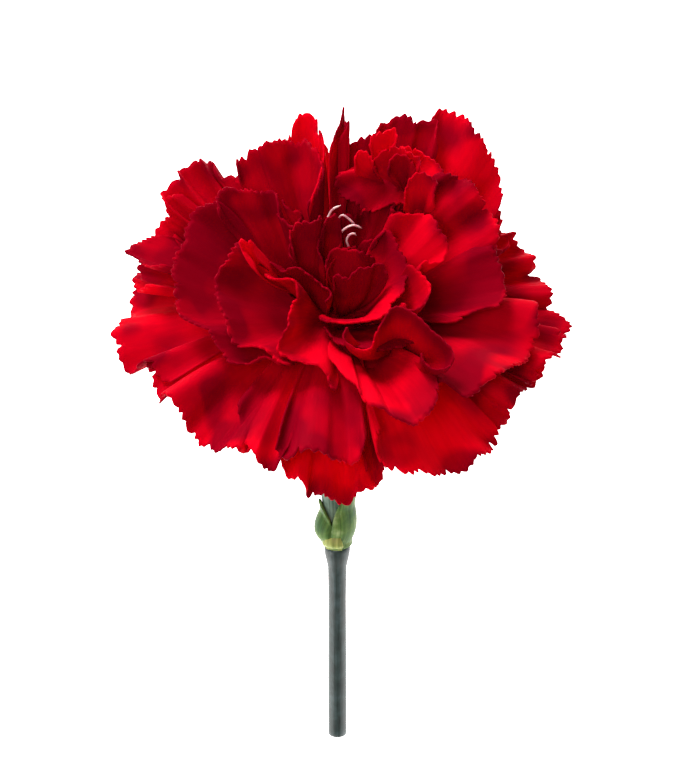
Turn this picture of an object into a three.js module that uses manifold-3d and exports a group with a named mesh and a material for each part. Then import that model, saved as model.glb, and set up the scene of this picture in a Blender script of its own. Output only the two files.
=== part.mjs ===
// A cut red carnation, lying down as it would be put on a table: the ruffled bloom, the green
// calyx that holds its petals, the scales round the foot of the calyx, the pale curled styles in
// the heart of the bloom, and the short cut stem. Millimetres, +Z up.

import * as THREE from 'three';
import { mergeVertices } from 'three/addons/utils/BufferGeometryUtils.js';
import Module from 'manifold-3d';

const wasm = await Module();
wasm.setup();

// The flower frame. Every piece is made with +Z up the stem, +X to the right of the bloom and +Y to
// its back, and the origin where the stem meets the flower. The last section lays it all down.
const STEM_LENGTH = 39.9;
const STEM_CUT_RADIUS = 1.65;
const STEM_WAIST_RADIUS = 1.57;
const STEM_NODE_RADIUS = 2.3;
const LIE = THREE.MathUtils.degToRad(24);   // angle between the stem and the table
const GAP = 0.3;                            // clearance between pieces that touch

// The table, seen from the flower frame: the lower edge of the stem's cut end lies on it.
const TABLE_UP = new THREE.Vector3(0, -Math.cos(LIE), Math.sin(LIE));
const TABLE_BELOW_ORIGIN = STEM_CUT_RADIUS * Math.cos(LIE) + STEM_LENGTH * Math.sin(LIE);

// Petals: a blade is a sheet from its heart, the point where it opens out of the bundle of claws,
// to its rim. A guard petal has a wide toothed rim, a scrap in the middle a short one.
const BLADE_THICKNESS = 0.8;
const ROOT_SHARE = 0.12;          // width of a blade at its heart, as a share of its rim
const ROW_PLACES = [0, 0.34, 0.7, 1];
const LARGE_RIM = 24;             // a rim longer than this gets twice as many teeth
const LARGE_ROWS = [2, 4, 8, 16];
const SMALL_ROWS = [1, 2, 4, 8];
const TOOTH_DEPTH = [0.7, 1.7];

// Each rim is a short list of points on the toothed edge, from one corner of the petal to the
// other. heart is [distance from the axis, height]; lean is the angle from the axis, in degrees,
// at which the blade starts and ends; folds is [height, waves across the petal, phase in degrees].
const PETALS = [
  // guard petals, which droop over the calyx
  { name: 'guard left', heart: [6, 42], lean: [50, 105], folds: [1.6, 2.0, 20],
    rim: [[-32, 12, 45.5], [-36, 8, 46.5], [-36.5, 0, 45.5], [-38.5, -6, 44], [-36, -12, 43],
      [-32, -15, 43.5], [-29, -18, 43.5]] },
  { name: 'guard lower left', heart: [6, 41], lean: [45, 112], folds: [1.7, 2.6, 20],
    rim: [[-33.5, -9, 43], [-32, -14, 42.5], [-31, -20, 42], [-27.5, -25, 41.5],
      [-24, -29, 38.5], [-19.5, -32, 37], [-15.5, -34, 37.5], [-15, -31, 39.5]] },
  { name: 'guard front left', heart: [6, 43], lean: [45, 110], folds: [1.6, 2, 0],
    rim: [[-17, -26, 43], [-15.5, -32, 41], [-14, -36, 38], [-10.5, -37, 38], [-8, -34, 39]] },
  { name: 'guard front', heart: [6, 38], lean: [50, 118], folds: [1.4, 3.4, 10],
    rim: [[-10, -32, 35], [-6, -35, 32.5], [-2.5, -36, 30.5], [3, -36, 30.5], [6, -35, 32.5],
      [8, -32, 34.5]] },
  { name: 'guard front tuck', heart: [6, 38], lean: [50, 115], folds: [0.8, 2, 10],
    rim: [[5, -32, 35], [7, -34, 32.5], [8.5, -33, 34], [9.5, -32, 36], [9.5, -28, 37.5]] },
  { name: 'guard front right', heart: [6, 44], lean: [48, 112], folds: [2.0, 2.7, 90],
    rim: [[7, -31, 42.5], [8, -35, 39.5], [11.5, -35.5, 36.5], [16, -34, 35], [21, -31.5, 34.5],
      [25.5, -28, 35.5], [27.5, -25, 37.5]] },
  { name: 'guard lower right', heart: [6, 42], lean: [48, 110], folds: [1.6, 2.2, 0],
    rim: [[25.5, -23, 34.5], [28.5, -22, 36.5], [30.5, -20, 39.5], [32, -17, 40.5],
      [35, -13, 40.5], [35.5, -10, 42]] },
  { name: 'guard right', heart: [6, 43], lean: [50, 102], folds: [1.6, 2.2, 120],
    rim: [[32.5, -17, 42.5], [36, -13, 42.5], [38.5, -9, 43], [39.5, -6, 43.5], [38.5, -3, 44],
      [38, 0, 45]] },
  { name: 'guard spur', heart: [6, 45], lean: [55, 92], folds: [0.7, 1, 0],
    rim: [[37, -3, 43.5], [40, -2, 43], [41, 0, 43.5], [39, 2, 44.5], [36.5, 4, 45.5]] },
  { name: 'guard upper right', heart: [6, 46], lean: [50, 88], folds: [1.5, 3.2, 40],
    rim: [[28.5, 14, 56], [31, 13, 54.5], [34, 11, 52], [36, 8, 48.5], [37.5, 5, 47],
      [36.5, 2, 45]] },
  { name: 'apron', heart: [6, 46], lean: [50, 112], folds: [1.4, 2.2, 40],
    rim: [[-10, -34, 41.5], [-9.5, -37, 40], [-6, -38, 40.5], [-1, -38, 39.5], [3.5, -38, 40],
      [5, -34, 41.5]] },

  // the second layer, wide bowls above the guard petals
  { name: 'bowl right', heart: [6, 44], lean: [55, 100], folds: [1.7, 2.2, 30],
    rim: [[16, -21, 47.5], [18.5, -25.5, 47], [21.5, -27, 47], [27, -24, 46.5], [31.5, -18, 47],
      [34.5, -11.5, 48.5], [34.5, -7.5, 50], [31.5, -3, 49.5]] },
  { name: 'bowl upper right', heart: [5, 46], lean: [60, 70], folds: [1.5, 2.4, 80],
    rim: [[17.5, -12, 51.5], [22.5, -11.5, 53], [28, -10, 54], [28.5, -6, 56.5],
      [28, -2.5, 58.5], [27, 0, 60.5]] },
  { name: 'bowl left', heart: [5, 45], lean: [55, 60], folds: [1.1, 3.2, 200],
    rim: [[-21, 5, 66.5], [-25, 4, 64], [-27, 0, 60], [-29, -3, 58], [-28, -9, 55],
      [-24, -15, 52], [-19, -20, 50], [-13.5, -23, 50.5], [-9.5, -24, 50.5]] },
  { name: 'bowl left inner', heart: [5, 46], lean: [55, 60], folds: [1.0, 2.4, 30],
    rim: [[-17.5, -4, 63], [-19.5, -8, 61], [-20, -13, 57.5], [-19.5, -17, 54.5],
      [-16, -21, 52.5], [-11.5, -24, 51], [-8, -25, 50.5]] },
  { name: 'point left', heart: [6, 47], lean: [55, 70], folds: [0.5, 1.4, 0],
    rim: [[-29, 8, 57.5], [-32, 8, 57.5], [-35.5, 6, 56.5], [-37, 4, 55.5], [-34.5, 2, 55.5],
      [-30, -2, 57.5]] },
  { name: 'point left under', heart: [6, 44], lean: [55, 80], folds: [0.8, 2, 0],
    rim: [[-32, 8, 52], [-35, 8, 52], [-34, 6, 50.5], [-35.5, 4, 50.5], [-32, -3, 52.5]] },
  { name: 'point left over', heart: [6, 47], lean: [50, 60], folds: [0.6, 2, 0],
    rim: [[-32.5, 10, 56], [-31, 11, 58], [-29.5, 11, 60.5], [-30, 11, 62.5], [-27.5, 10, 65]] },
  { name: 'shoulder left', heart: [6, 48], lean: [40, 42], folds: [1.6, 3.4, 0],
    rim: [[-30, 10, 63.5], [-29, 13, 65], [-27, 16, 66.5], [-23.5, 18, 67], [-21, 17, 66],
      [-19, 15, 65], [-16.5, 14, 66]] },
  { name: 'shoulder right', heart: [5, 49], lean: [50, 55], folds: [1.5, 2.8, 60],
    rim: [[17.5, 8, 70], [21, 7.5, 69.5], [24, 6, 68.5], [26, 4, 65], [28, 2, 63.5],
      [28.5, 0, 62], [27.5, -1.5, 60]] },

  // the crown, upright at the back
  { name: 'crown right', heart: [6, 49], lean: [25, 25], folds: [1.6, 2.4, 100],
    rim: [[16, 19, 73.5], [18, 20, 76], [20.5, 19.5, 76], [23.5, 18, 74], [26, 16, 71],
      [27.5, 13.5, 67], [29, 11, 62], [28, 9, 60]] },
  { name: 'crown middle', heart: [6, 49], lean: [22, 12], folds: [1.2, 2, 10],
    rim: [[6.5, 16, 73.5], [9, 18, 74.5], [12, 19, 75.5], [14.5, 19, 74.5], [16.5, 17, 75],
      [18, 15, 72.5]] },
  { name: 'crown back', heart: [5, 49], lean: [15, 12], folds: [0.5, 3, 0],
    rim: [[-1, 12, 70], [1, 16, 73], [3, 15, 72], [4.5, 16, 73], [7.5, 17, 73.5]] },
  { name: 'crown spike', heart: [5, 49], lean: [12, 4], folds: [0.3, 1, 40],
    rim: [[-2.4, 12.5, 71.3], [-1.2, 14, 75], [1.1, 16, 78.4], [2.1, 16.2, 76.8],
      [1.9, 15.5, 73.8], [2.8, 14.5, 71]] },
  { name: 'crown fold', heart: [5, 48], lean: [20, 15], folds: [0.8, 1.4, 160],
    rim: [[-9, 19, 70], [-8, 20, 72], [-6.5, 21, 74.5], [-4.5, 21, 74.5], [-3.5, 19, 72],
      [-1.5, 17, 70.5]] },
  { name: 'crown left', heart: [5, 48], lean: [25, 18], folds: [1.5, 2.4, 200],
    rim: [[-17, 12, 67.5], [-16.5, 13, 70], [-14.5, 14, 71.5], [-12, 15, 72.5], [-9, 15, 72],
      [-6, 14, 72.5], [-3.6, 12, 72], [-3, 9, 71.3], [-4, 6, 70], [-5.2, 3, 66.5]] },

  // the inner petals, curled round the heart
  { name: 'shell left', heart: [5, 49], lean: [40, 25], folds: [1.0, 2.8, 20],
    rim: [[-20.5, 2, 65.5], [-19.5, 5, 68], [-16, 6, 68], [-12.5, 6, 67.5], [-10, 4, 66.5],
      [-8.5, 0, 63], [-7.5, -3, 58.5]] },
  { name: 'shell left scrap', heart: [4, 51], lean: [30, 25], folds: [0.3, 1, 0],
    rim: [[-9.5, 6, 66], [-8, 5, 64.5], [-6, 5, 64], [-6.5, 3, 62.5]] },
  { name: 'curl left', heart: [4, 50], lean: [50, 30], folds: [0.4, 1.5, 0],
    rim: [[-15.5, -11, 62.5], [-16.3, -10, 63.9], [-16.8, -9, 66.3], [-15.6, -8.4, 66.1],
      [-14.6, -8, 65.4], [-13.4, -9, 62.9]] },
  { name: 'sweep left', heart: [4, 48], lean: [55, 60], folds: [0.8, 2.4, 0],
    rim: [[-13.5, -9, 61], [-10.5, -7, 60], [-6, -9, 59.5], [-2, -10, 58.5], [-1, -12, 58],
      [-2, -14, 56.5]] },
  { name: 'curl front left', heart: [4, 47], lean: [55, 60], folds: [0.9, 3, 20],
    rim: [[-12.5, -10, 60], [-9.5, -12, 60], [-7.5, -14, 59], [-6.5, -15, 57.5],
      [-8.5, -18, 55.5], [-9.5, -21, 54], [-8.5, -23.5, 52], [-6, -25.5, 50.5],
      [-2.5, -26.5, 50.5], [0, -29, 48]] },
  { name: 'tongue', heart: [4, 44], lean: [80, 104], folds: [0.8, 1.6, 0],
    rim: [[-1.5, -22, 50.2], [0.5, -27, 50.5], [4, -31, 49.7], [4.7, -33, 47.9],
      [7.1, -34.5, 46.7], [8.5, -35, 45], [12.5, -35.5, 44.1], [14, -35, 44.5],
      [16.1, -32, 46.1], [17.3, -29, 47.2], [16.8, -25, 48.8]] },
  { name: 'arch', heart: [10.5, -13, 47.5], lean: [85, 15], folds: [0.2, 1, 0],
    rim: [[2.3, -21.5, 56.1], [1.8, -22.5, 54.7], [2.7, -23, 53.7], [4, -23, 52.9],
      [5.4, -22.5, 52.7], [6.3, -21.5, 54.6], [8, -20, 56.8], [9.8, -19, 58.5],
      [10.9, -19, 58.2], [12.4, -19.5, 57.6], [14.6, -21, 56.3], [16.5, -22, 54.6],
      [17.7, -22.5, 53.6], [19.1, -23.5, 52.1], [18.6, -25, 50.9], [16.8, -26, 50.8],
      [15.1, -26, 51.8], [14.6, -25, 53.3]] },
  { name: 'cup right', heart: [3, 46], lean: [60, 50], folds: [0.3, 3, 0],
    rim: [[-2.6, -12.3, 54.5], [0.1, -15.1, 55.5], [2.5, -16.5, 56.1], [4.6, -16.5, 56.5],
      [7, -15.5, 57.1], [9, -13.1, 57.4], [10.4, -10.8, 57.8], [11, -8.5, 58.5],
      [11.3, -6.7, 60], [11, -5, 61.4], [9.9, -3.7, 62.7], [8.9, -3, 63.5], [7.9, -2.6, 64],
      [7.4, -2.2, 61.8]] },
  { name: 'cup small', heart: [4, 48], lean: [70, 30], folds: [0.3, 1, 0],
    rim: [[12.5, -7, 60.5], [15, -9, 59], [16, -11, 58], [15, -14, 57], [12.5, -15, 56],
      [11.5, -14, 57]] },
  { name: 'heart front', heart: [2, 48], lean: [50, 10], folds: [0.3, 2.4, 0],
    rim: [[-1, -6, 57.9], [-0.8, -5, 60.3], [-0.4, -4, 60.9], [1.8, -4, 61.1], [3.4, -3.5, 61.6],
      [5, -3, 60.6], [7, -2, 58.5]] },
  { name: 'heart inner', heart: [2, 50], lean: [30, 15], folds: [0.3, 2, 0],
    rim: [[-0.5, -1.5, 61], [1.5, -2, 60.2], [3.5, -1, 60], [5.5, 0, 61.3], [7.5, 0.5, 61]] },
  { name: 'heart left', heart: [2, 49], lean: [35, 5], folds: [0.3, 2, 0],
    rim: [[-2.6, -5, 59.5], [-3.1, -4, 61.5], [-2.4, -2.5, 63.9], [-1.7, -1, 65.6],
      [-0.3, 0, 66.4], [0.5, 0, 64.8], [0.7, -0.5, 62.4], [0, -2, 60.3], [-1.5, -6, 58.3]] },
  { name: 'heart left outer', heart: [3, 49], lean: [40, 12], folds: [0.5, 2, 0],
    rim: [[-8, -6, 61.8], [-7.7, -4, 65], [-6.2, -3, 66.1], [-4.4, -2.5, 66.1], [-3, -2, 67],
      [-2.4, -1.5, 64.9], [-2.6, -1, 61.5]] },
  { name: 'heart back', heart: [3, 50], lean: [30, 10], folds: [0.9, 3, 0],
    rim: [[1, 6, 63], [4, 7, 62.5], [6, 7, 63.5], [9, 6, 64.5], [11, 4, 64]] },
  { name: 'heart right', heart: [3, 49], lean: [50, 40], folds: [1.0, 2.2, 0],
    rim: [[10, 3, 64.5], [13, 1, 65.5], [15.5, 0, 66], [18, -2, 64.5], [19, -4, 62.5],
      [17, -6, 60.5], [14.5, -8, 59]] },

  // the rosette, a second small heart at the back right, on its own bundle of claws
  { name: 'rosette lip', heart: [10, 13, 66], lean: [60, 120], folds: [1.2, 4, 0],
    rim: [[4.5, 9, 72], [1.5, 8, 68.5], [-0.5, 8, 67.5], [0, 8, 65], [2.5, 8, 63],
      [5.5, 8.5, 61.5], [9, 8, 64], [11, 8, 64.5]] },
  { name: 'rosette tip', heart: [9, 11, 68], lean: [20, 5], folds: [0.5, 1.5, 0],
    rim: [[5.8, 8.5, 73.8], [6.2, 9.5, 76.3], [7.4, 10.5, 76.6], [8.6, 11, 76.9],
      [9.8, 11, 77.1], [9.6, 10, 75.3], [8.8, 9, 73.9]] },
  { name: 'rosette outer', heart: [12, 9, 66], lean: [20, 10], folds: [0.2, 1, 0],
    rim: [[10.5, 12.5, 72.8], [12.9, 12, 72.7], [15.1, 11.5, 72], [17, 10, 71.1],
      [17.9, 8, 70.2], [17.5, 6.5, 69.4]] },
  { name: 'rosette inner', heart: [11, 9, 66], lean: [15, 25], folds: [0.7, 3, 0],
    rim: [[5.9, 7.5, 70.4], [6.7, 8, 72.5], [8.4, 9, 74.3], [10.5, 9, 74.5], [12.5, 8.5, 74],
      [13.7, 7.5, 72.8], [14.1, 6, 71.6]] },
  { name: 'rosette fold', heart: [14, 6, 62], lean: [30, 20], folds: [0.5, 1.2, 0],
    rim: [[11.2, 3.2, 65.4], [11.3, 3.6, 67.9], [12.5, 4.4, 70.5], [14.6, 5, 71],
      [16.9, 4.6, 70.6], [17.1, 3.4, 68.2], [17, 2.8, 66.2]] },
];

// The back of the bloom, out of sight from the front, is set out by rule in three rings. The
// lowest ring lies along the table where it meets it.
const BACK_RINGS = [
  { name: 'guard on the table', turns: [62, 90, 118], halfWidth: 17, heart: [6, 42],
    reach: [47.7, 46.7, 47.7], height: [43, 47, 43], lean: [74, 24], folds: [0.8, 2.6, 0] },
  { name: 'back guard', turns: [34, 146], halfWidth: 17, heart: [6, 43],
    reach: [38, 38], height: [45, 45], lean: [58, 84], folds: [1.3, 3.2, 0] },
  { name: 'back bowl', turns: [26, 52, 78, 103, 128, 153], halfWidth: 17, heart: [6, 47],
    reach: [31, 33, 34, 34, 33, 31], height: [57, 58, 59, 59, 58, 57], lean: [55, 52],
    folds: [1.1, 2.6, 60] },
  { name: 'back crown', turns: [40, 72, 104, 136], halfWidth: 20, heart: [5, 50],
    reach: [24, 26, 26, 24], height: [64, 65, 65, 64], lean: [40, 34], folds: [1, 2.4, 120] },
];
const BACK_RIM_STEPS = [-1, -0.55, 0, 0.55, 1];
const BACK_CORNER_DROP = 3.5;     // the corners of a petal reach less far than its middle

// The bundle of claws: a core that the blades' roots are sunk in, [radius, height] up its side.
const CORE_PROFILE = [
  [0, 26.3], [4.9, 26.3], [5, 31], [5.6, 35], [7.4, 40], [7.6, 45], [7, 48], [5.4, 51], [2.6, 52.6],
  [0, 53],
];
const CORE_SIDES = 16;
const ROSETTE_CLAWS = { from: [3, 4, 49], to: [11.5, 10, 68], radius: [3.2, 2.2], sides: 8 };

// Calyx: a green tube that widens to a mouth with five teeth. [radius, height] up its outside.
const CALYX_PROFILE = [
  [2.1, 1.4], [2.4, 2.4], [2.4, 8], [3.4, 15], [4.8, 21], [5.8, 25], [6, 28],
];
const CALYX_FLOOR = 26;           // the claws stand on this floor, inside the mouth
const CALYX_INNER = 5.2;
const CALYX_TEETH = 5;
const CALYX_TOOTH = 3.4;
const CALYX_SIDES = 30;

// Scales: two pairs of pointed scales that stand on a disc round the foot of the calyx.
// Turn and spread are in degrees round the axis, and fullness is how far up a scale stays broad.
const DISC = { radius: 2.55, bottom: 0.3, top: 1.1 };
const SCALES = [
  { turn: 194, height: 8.9, spread: 76, belly: 4.1, fullness: 2.4 },
  { turn: 336, height: 12.2, spread: 82, belly: 3.6, fullness: 4 },
  { turn: 90, height: 9.6, spread: 62, belly: 3.6, fullness: 2.4 },
  { turn: 257, height: 4.5, spread: 30, belly: 4.3, fullness: 3 },
];
const SCALE_THICKNESS = 0.7;
const SCALE_ROWS = 7;
const SCALE_COLUMNS = 8;
const SCALE_BELLY_AT = 0.36;      // height of the belly, as a share of the scale

// Styles: thin curled threads on a short stub, each a list of points in the heart of the bloom.
const STYLE_RADIUS = 0.35;
const STYLE_SIDES = 6;
const STYLE_STUB = { radius: 1.5, bottom: 50.5, top: 53.8 };
const STYLES = [
  [[0.6, 0.6, 53.2], [-1.2, 1.8, 59.6], [-1.8, 2.6, 62.2], [-1.4, 3, 64], [-0.6, 3, 65.3],
    [0.7, 3, 66]],
  [[1.2, 0.8, 53.2], [0.2, 2.2, 60.4], [0.1, 2.6, 63], [0.9, 2.6, 64.3], [2.4, 2.5, 63.3],
    [3.4, 2.5, 62]],
  [[0.8, 0.2, 53.2], [0.2, 0.9, 59.4], [0.7, 1, 61.7], [1.9, 1, 62.9], [3.1, 1, 63.2],
    [4.3, 1, 62.6]],
  [[1.6, 0, 53.2], [2.1, 0, 59.1], [1.7, 0, 60.8], [2.2, 0, 61.9], [2.9, 0.1, 62.1],
    [3.4, 0.2, 61.6]],
];

// Colours as they look in even light.
const PETAL_RED = 0xc8001a;
const CALYX_GREEN = 0x6f8573;
const SCALE_GREEN = 0x6f8a3c;
const STEM_GREEN = 0x566a69;
const STYLE_PINK = 0xe6b4b4;

/** A seeded stream of numbers from 0 to 1, the same each run. */
function randomStream(seed) {
  let state = seed;
  return () => {
    state = (state * 1664525 + 1013904223) % 4294967296;
    return state / 4294967296;
  };
}

/** A closed solid from points and triangles, turned outside out if it is inside out. */
function solidFrom(points, triangles) {
  let volume = 0;
  for (const [a, b, c] of triangles) {
    volume += points[a].dot(points[b].clone().cross(points[c]));
  }
  const outward = volume > 0 ? triangles : triangles.map(([a, b, c]) => [a, c, b]);
  return new wasm.Manifold(new wasm.Mesh({
    numProp: 3,
    vertProperties: new Float32Array(points.flatMap((point) => point.toArray())),
    triVerts: new Uint32Array(outward.flat()),
  }));
}

/** A closed solid from a three.js geometry whose faces share no vertices yet. */
function solidFromGeometry(geometry) {
  geometry.deleteAttribute('normal');
  geometry.deleteAttribute('uv');
  const merged = mergeVertices(geometry, 1e-4);
  const place = merged.attributes.position;
  const points = [];
  for (let i = 0; i < place.count; i++) {
    points.push(new THREE.Vector3().fromBufferAttribute(place, i));
  }
  const triangles = [];
  for (let i = 0; i < merged.index.count; i += 3) {
    const corners = [0, 1, 2].map((k) => merged.index.getX(i + k));
    if (new Set(corners).size === 3) triangles.push(corners);
  }
  return solidFrom(points, triangles);
}

/** A solid of revolution about +Z from [radius, height] pairs that start and end on the axis. */
function turned(profile, sides) {
  const outline = profile.map(([radius, height]) => new THREE.Vector2(radius, height));
  const geometry = new THREE.LatheGeometry(outline, sides);
  geometry.rotateX(Math.PI / 2);
  return solidFromGeometry(geometry);
}

/** All solids joined into one. */
function joined(solids) {
  return solids.reduce((whole, solid) => whole.add(solid));
}

/** The triangles of a solid as a geometry, without any loose scrap that a cut left. */
function geometryOf(solid) {
  const { vertProperties, triVerts } = solid.getMesh();
  const parent = Array.from({ length: vertProperties.length / 3 }, (_, i) => i);
  const find = (i) => {
    while (parent[i] !== i) {
      parent[i] = parent[parent[i]];
      i = parent[i];
    }
    return i;
  };
  for (let i = 0; i < triVerts.length; i += 3) {
    parent[find(triVerts[i])] = find(triVerts[i + 1]);
    parent[find(triVerts[i + 1])] = find(triVerts[i + 2]);
  }
  const count = new Map();
  for (let i = 0; i < triVerts.length; i += 3) {
    const body = find(triVerts[i]);
    count.set(body, (count.get(body) ?? 0) + 1);
  }
  const largest = [...count.entries()].reduce((a, b) => (b[1] > a[1] ? b : a))[0];
  const kept = [];
  for (let i = 0; i < triVerts.length; i += 3) {
    if (find(triVerts[i]) === largest) kept.push(...triVerts.subarray(i, i + 3));
  }
  const geometry = new THREE.BufferGeometry();
  geometry.setAttribute('position', new THREE.BufferAttribute(vertProperties, 3));
  geometry.setIndex(kept);
  return geometry;
}

/** Lifts a point straight up off the table until it is at least the given height above it. */
function keepAboveTable(point, height) {
  const above = point.dot(TABLE_UP) + TABLE_BELOW_ORIGIN;
  if (above < height) point.addScaledVector(TABLE_UP, height - above);
  return point;
}

/** Unit vector that leans from the axis by an angle in degrees, in the direction outward. */
function leaning(outward, degrees) {
  const angle = THREE.MathUtils.degToRad(degrees);
  return outward.clone().multiplyScalar(Math.sin(angle)).setZ(Math.cos(angle));
}

/** One petal: its blade as a closed sheet. */
class Petal {
  constructor({ heart, lean, folds, rim }, seed) {
    this.lean = lean;
    [this.foldHeight, this.foldWaves, this.foldPhase] = folds;
    const points = rim.map((place) => new THREE.Vector3(...place));
    this.rim = new THREE.CatmullRomCurve3(points, false, 'centripetal');
    this.middle = points.reduce((sum, point) => sum.add(point), new THREE.Vector3())
      .divideScalar(points.length);
    const outward = this.middle.clone().setZ(0).normalize();
    this.heart = heart.length === 3
      ? new THREE.Vector3(...heart)
      : outward.multiplyScalar(heart[0]).setZ(heart[1]);
    this.forward = this.middle.clone().sub(this.heart).setZ(0).normalize();
    this.random = randomStream(seed + 1);
  }

  /** The curve from the heart to the rim at place v across the petal, from -1 to 1. */
  rib(v) {
    const tip = this.rim.getPointAt((v + 1) / 2);
    const root = tip.clone().sub(this.middle).multiplyScalar(ROOT_SHARE).add(this.heart);
    const outward = tip.clone().sub(this.heart).setZ(0).normalize();
    outward.multiplyScalar(0.6).addScaledVector(this.forward, 0.4).normalize();
    const reach = 0.36 * root.distanceTo(tip);
    return new THREE.CubicBezierCurve3(
      root,
      root.clone().addScaledVector(leaning(outward, this.lean[0]), reach),
      tip.clone().addScaledVector(leaning(outward, this.lean[1]), -reach),
      tip,
    );
  }

  /** A point on the smooth blade, s of the way along from the heart and v across. */
  smooth(s, v) {
    return this.rib(v).getPoint(s);
  }

  /** The point and the facing of the folded blade at (s, v). */
  folded(s, v) {
    const step = 0.02;
    const along = this.smooth(Math.min(s + step, 1), v).sub(this.smooth(Math.max(s - step, 0), v));
    const across = this.smooth(s, Math.min(v + step, 1)).sub(this.smooth(s, Math.max(v - step, -1)));
    const facing = along.cross(across).normalize();
    const wave = Math.cos(Math.PI * this.foldWaves * v + THREE.MathUtils.degToRad(this.foldPhase));
    const point = this.smooth(s, v).addScaledVector(facing, this.foldHeight * s ** 1.3 * wave);
    return { point, facing };
  }

  /** The blade: rows of points whose number doubles outwards, with teeth along the last row. */
  solid() {
    const rows = this.rim.getLength() > LARGE_RIM ? LARGE_ROWS : SMALL_ROWS;
    const upper = [];
    const lower = [];
    const firstOfRow = [];
    rows.forEach((steps, row) => {
      firstOfRow.push(upper.length);
      const isRim = row === rows.length - 1;
      for (let i = 0; i <= steps; i++) {
        const v = -1 + (2 * i) / steps;
        const isNotch = isRim && i % 2 === 0;
        const [shallow, deep] = TOOTH_DEPTH;
        const notch = isNotch ? shallow + (deep - shallow) * this.random() : 0;
        const length = this.heart.distanceTo(this.rim.getPointAt((v + 1) / 2));
        const { point, facing } = this.folded(ROW_PLACES[row] * (1 - notch / length), v);
        const half = facing.multiplyScalar(BLADE_THICKNESS / 2);
        upper.push(point.clone().add(half));
        lower.push(point.clone().sub(half));
      }
    });

    // Triangles of one face: each step of a row meets two steps of the next row.
    const face = [];
    for (let row = 0; row < rows.length - 1; row++) {
      for (let i = 0; i < rows[row]; i++) {
        const near = firstOfRow[row] + i;
        const far = firstOfRow[row + 1] + 2 * i;
        face.push([near, far + 1, far], [near, near + 1, far + 1], [near + 1, far + 2, far + 1]);
      }
    }

    // The edge all round: up one side, along the rim, down the other side and back at the heart.
    const lastRow = rows.length - 1;
    const left = firstOfRow.slice(0, lastRow);
    const right = firstOfRow.map((first, row) => first + rows[row]).slice(0, lastRow).reverse();
    const rimEdge = Array.from({ length: rows[lastRow] + 1 }, (_, i) => firstOfRow[lastRow] + i);
    const heartEdge = Array.from({ length: rows[0] - 1 }, (_, i) => rows[0] - 1 - i);
    const edge = [...left, ...rimEdge, ...right, ...heartEdge];

    const below = upper.length;
    const triangles = [...face, ...face.map(([a, b, c]) => [c + below, b + below, a + below])];
    edge.forEach((a, i) => {
      const b = edge[(i + 1) % edge.length];
      triangles.push([a, b, b + below], [a, b + below, a + below]);
    });

    const points = [...upper, ...lower];
    upper.forEach((point, i) => {
      const upperIsHigher = point.dot(TABLE_UP) > lower[i].dot(TABLE_UP);
      keepAboveTable(point, upperIsHigher ? BLADE_THICKNESS : 0);
      keepAboveTable(lower[i], upperIsHigher ? 0 : BLADE_THICKNESS);
    });
    return solidFrom(points, triangles);
  }
}

/** The petals of one ring at the back, from the ring's rule. */
function ringPetals({ turns, halfWidth, heart, reach, height, lean, folds }) {
  return turns.map((turn, i) => {
    const rim = BACK_RIM_STEPS.map((step) => {
      const angle = THREE.MathUtils.degToRad(turn + step * halfWidth);
      const out = reach[i] - BACK_CORNER_DROP * Math.abs(step) ** 3;
      return [out * Math.cos(angle), out * Math.sin(angle), height[i] - 1.5 * step * step];
    });
    return { heart, lean, folds: [folds[0], folds[1], folds[2] + 70 * i], rim };
  });
}

/** A tapered round bar between two points. */
function bar({ from, to, radius, sides }) {
  const start = new THREE.Vector3(...from);
  const end = new THREE.Vector3(...to);
  const geometry = new THREE.CylinderGeometry(radius[1], radius[0], start.distanceTo(end), sides);
  const turn = new THREE.Quaternion()
    .setFromUnitVectors(new THREE.Vector3(0, 1, 0), end.clone().sub(start).normalize());
  geometry.applyQuaternion(turn);
  geometry.translate(...start.add(end).multiplyScalar(0.5).toArray());
  return solidFromGeometry(geometry);
}

/** The styles: threads along their curves and the stub that they grow from, all grown by extra. */
function stylesSolid(extra) {
  const outline = new THREE.Shape();
  for (let i = 0; i < STYLE_SIDES; i++) {
    const angle = (2 * Math.PI * i) / STYLE_SIDES;
    const x = (STYLE_RADIUS + extra) * Math.cos(angle);
    const y = (STYLE_RADIUS + extra) * Math.sin(angle);
    if (i === 0) outline.moveTo(x, y);
    else outline.lineTo(x, y);
  }
  const threads = STYLES.map((places) => {
    const points = places.map((place) => new THREE.Vector3(...place));
    if (extra > 0) {
      const end = points.length - 1;
      const beyond = points[end].clone().sub(points[end - 1]).setLength(extra);
      points[end].add(beyond);
    }
    const path = new THREE.CatmullRomCurve3(points, false, 'centripetal');
    const steps = Math.round(path.getLength() / 0.9);
    return solidFromGeometry(new THREE.ExtrudeGeometry(outline, { extrudePath: path, steps }));
  });
  const { radius, bottom, top } = STYLE_STUB;
  const stub = turned([
    [0, bottom - extra],
    [radius + extra, bottom - extra],
    [(radius + extra) * 0.8, top + extra],
    [0, top + extra],
  ], 8);
  return joined([stub, ...threads]);
}

/** The bloom: every petal, the core and the rosette's claws as one body, clear of the styles. */
function bloomGeometry() {
  const placed = [...PETALS, ...BACK_RINGS.flatMap(ringPetals)];
  const blades = placed.map((petal, i) => new Petal(petal, i).solid());
  const whole = joined([turned(CORE_PROFILE, CORE_SIDES), bar(ROSETTE_CLAWS), ...blades]);
  return geometryOf(whole.subtract(stylesSolid(GAP)));
}

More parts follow.
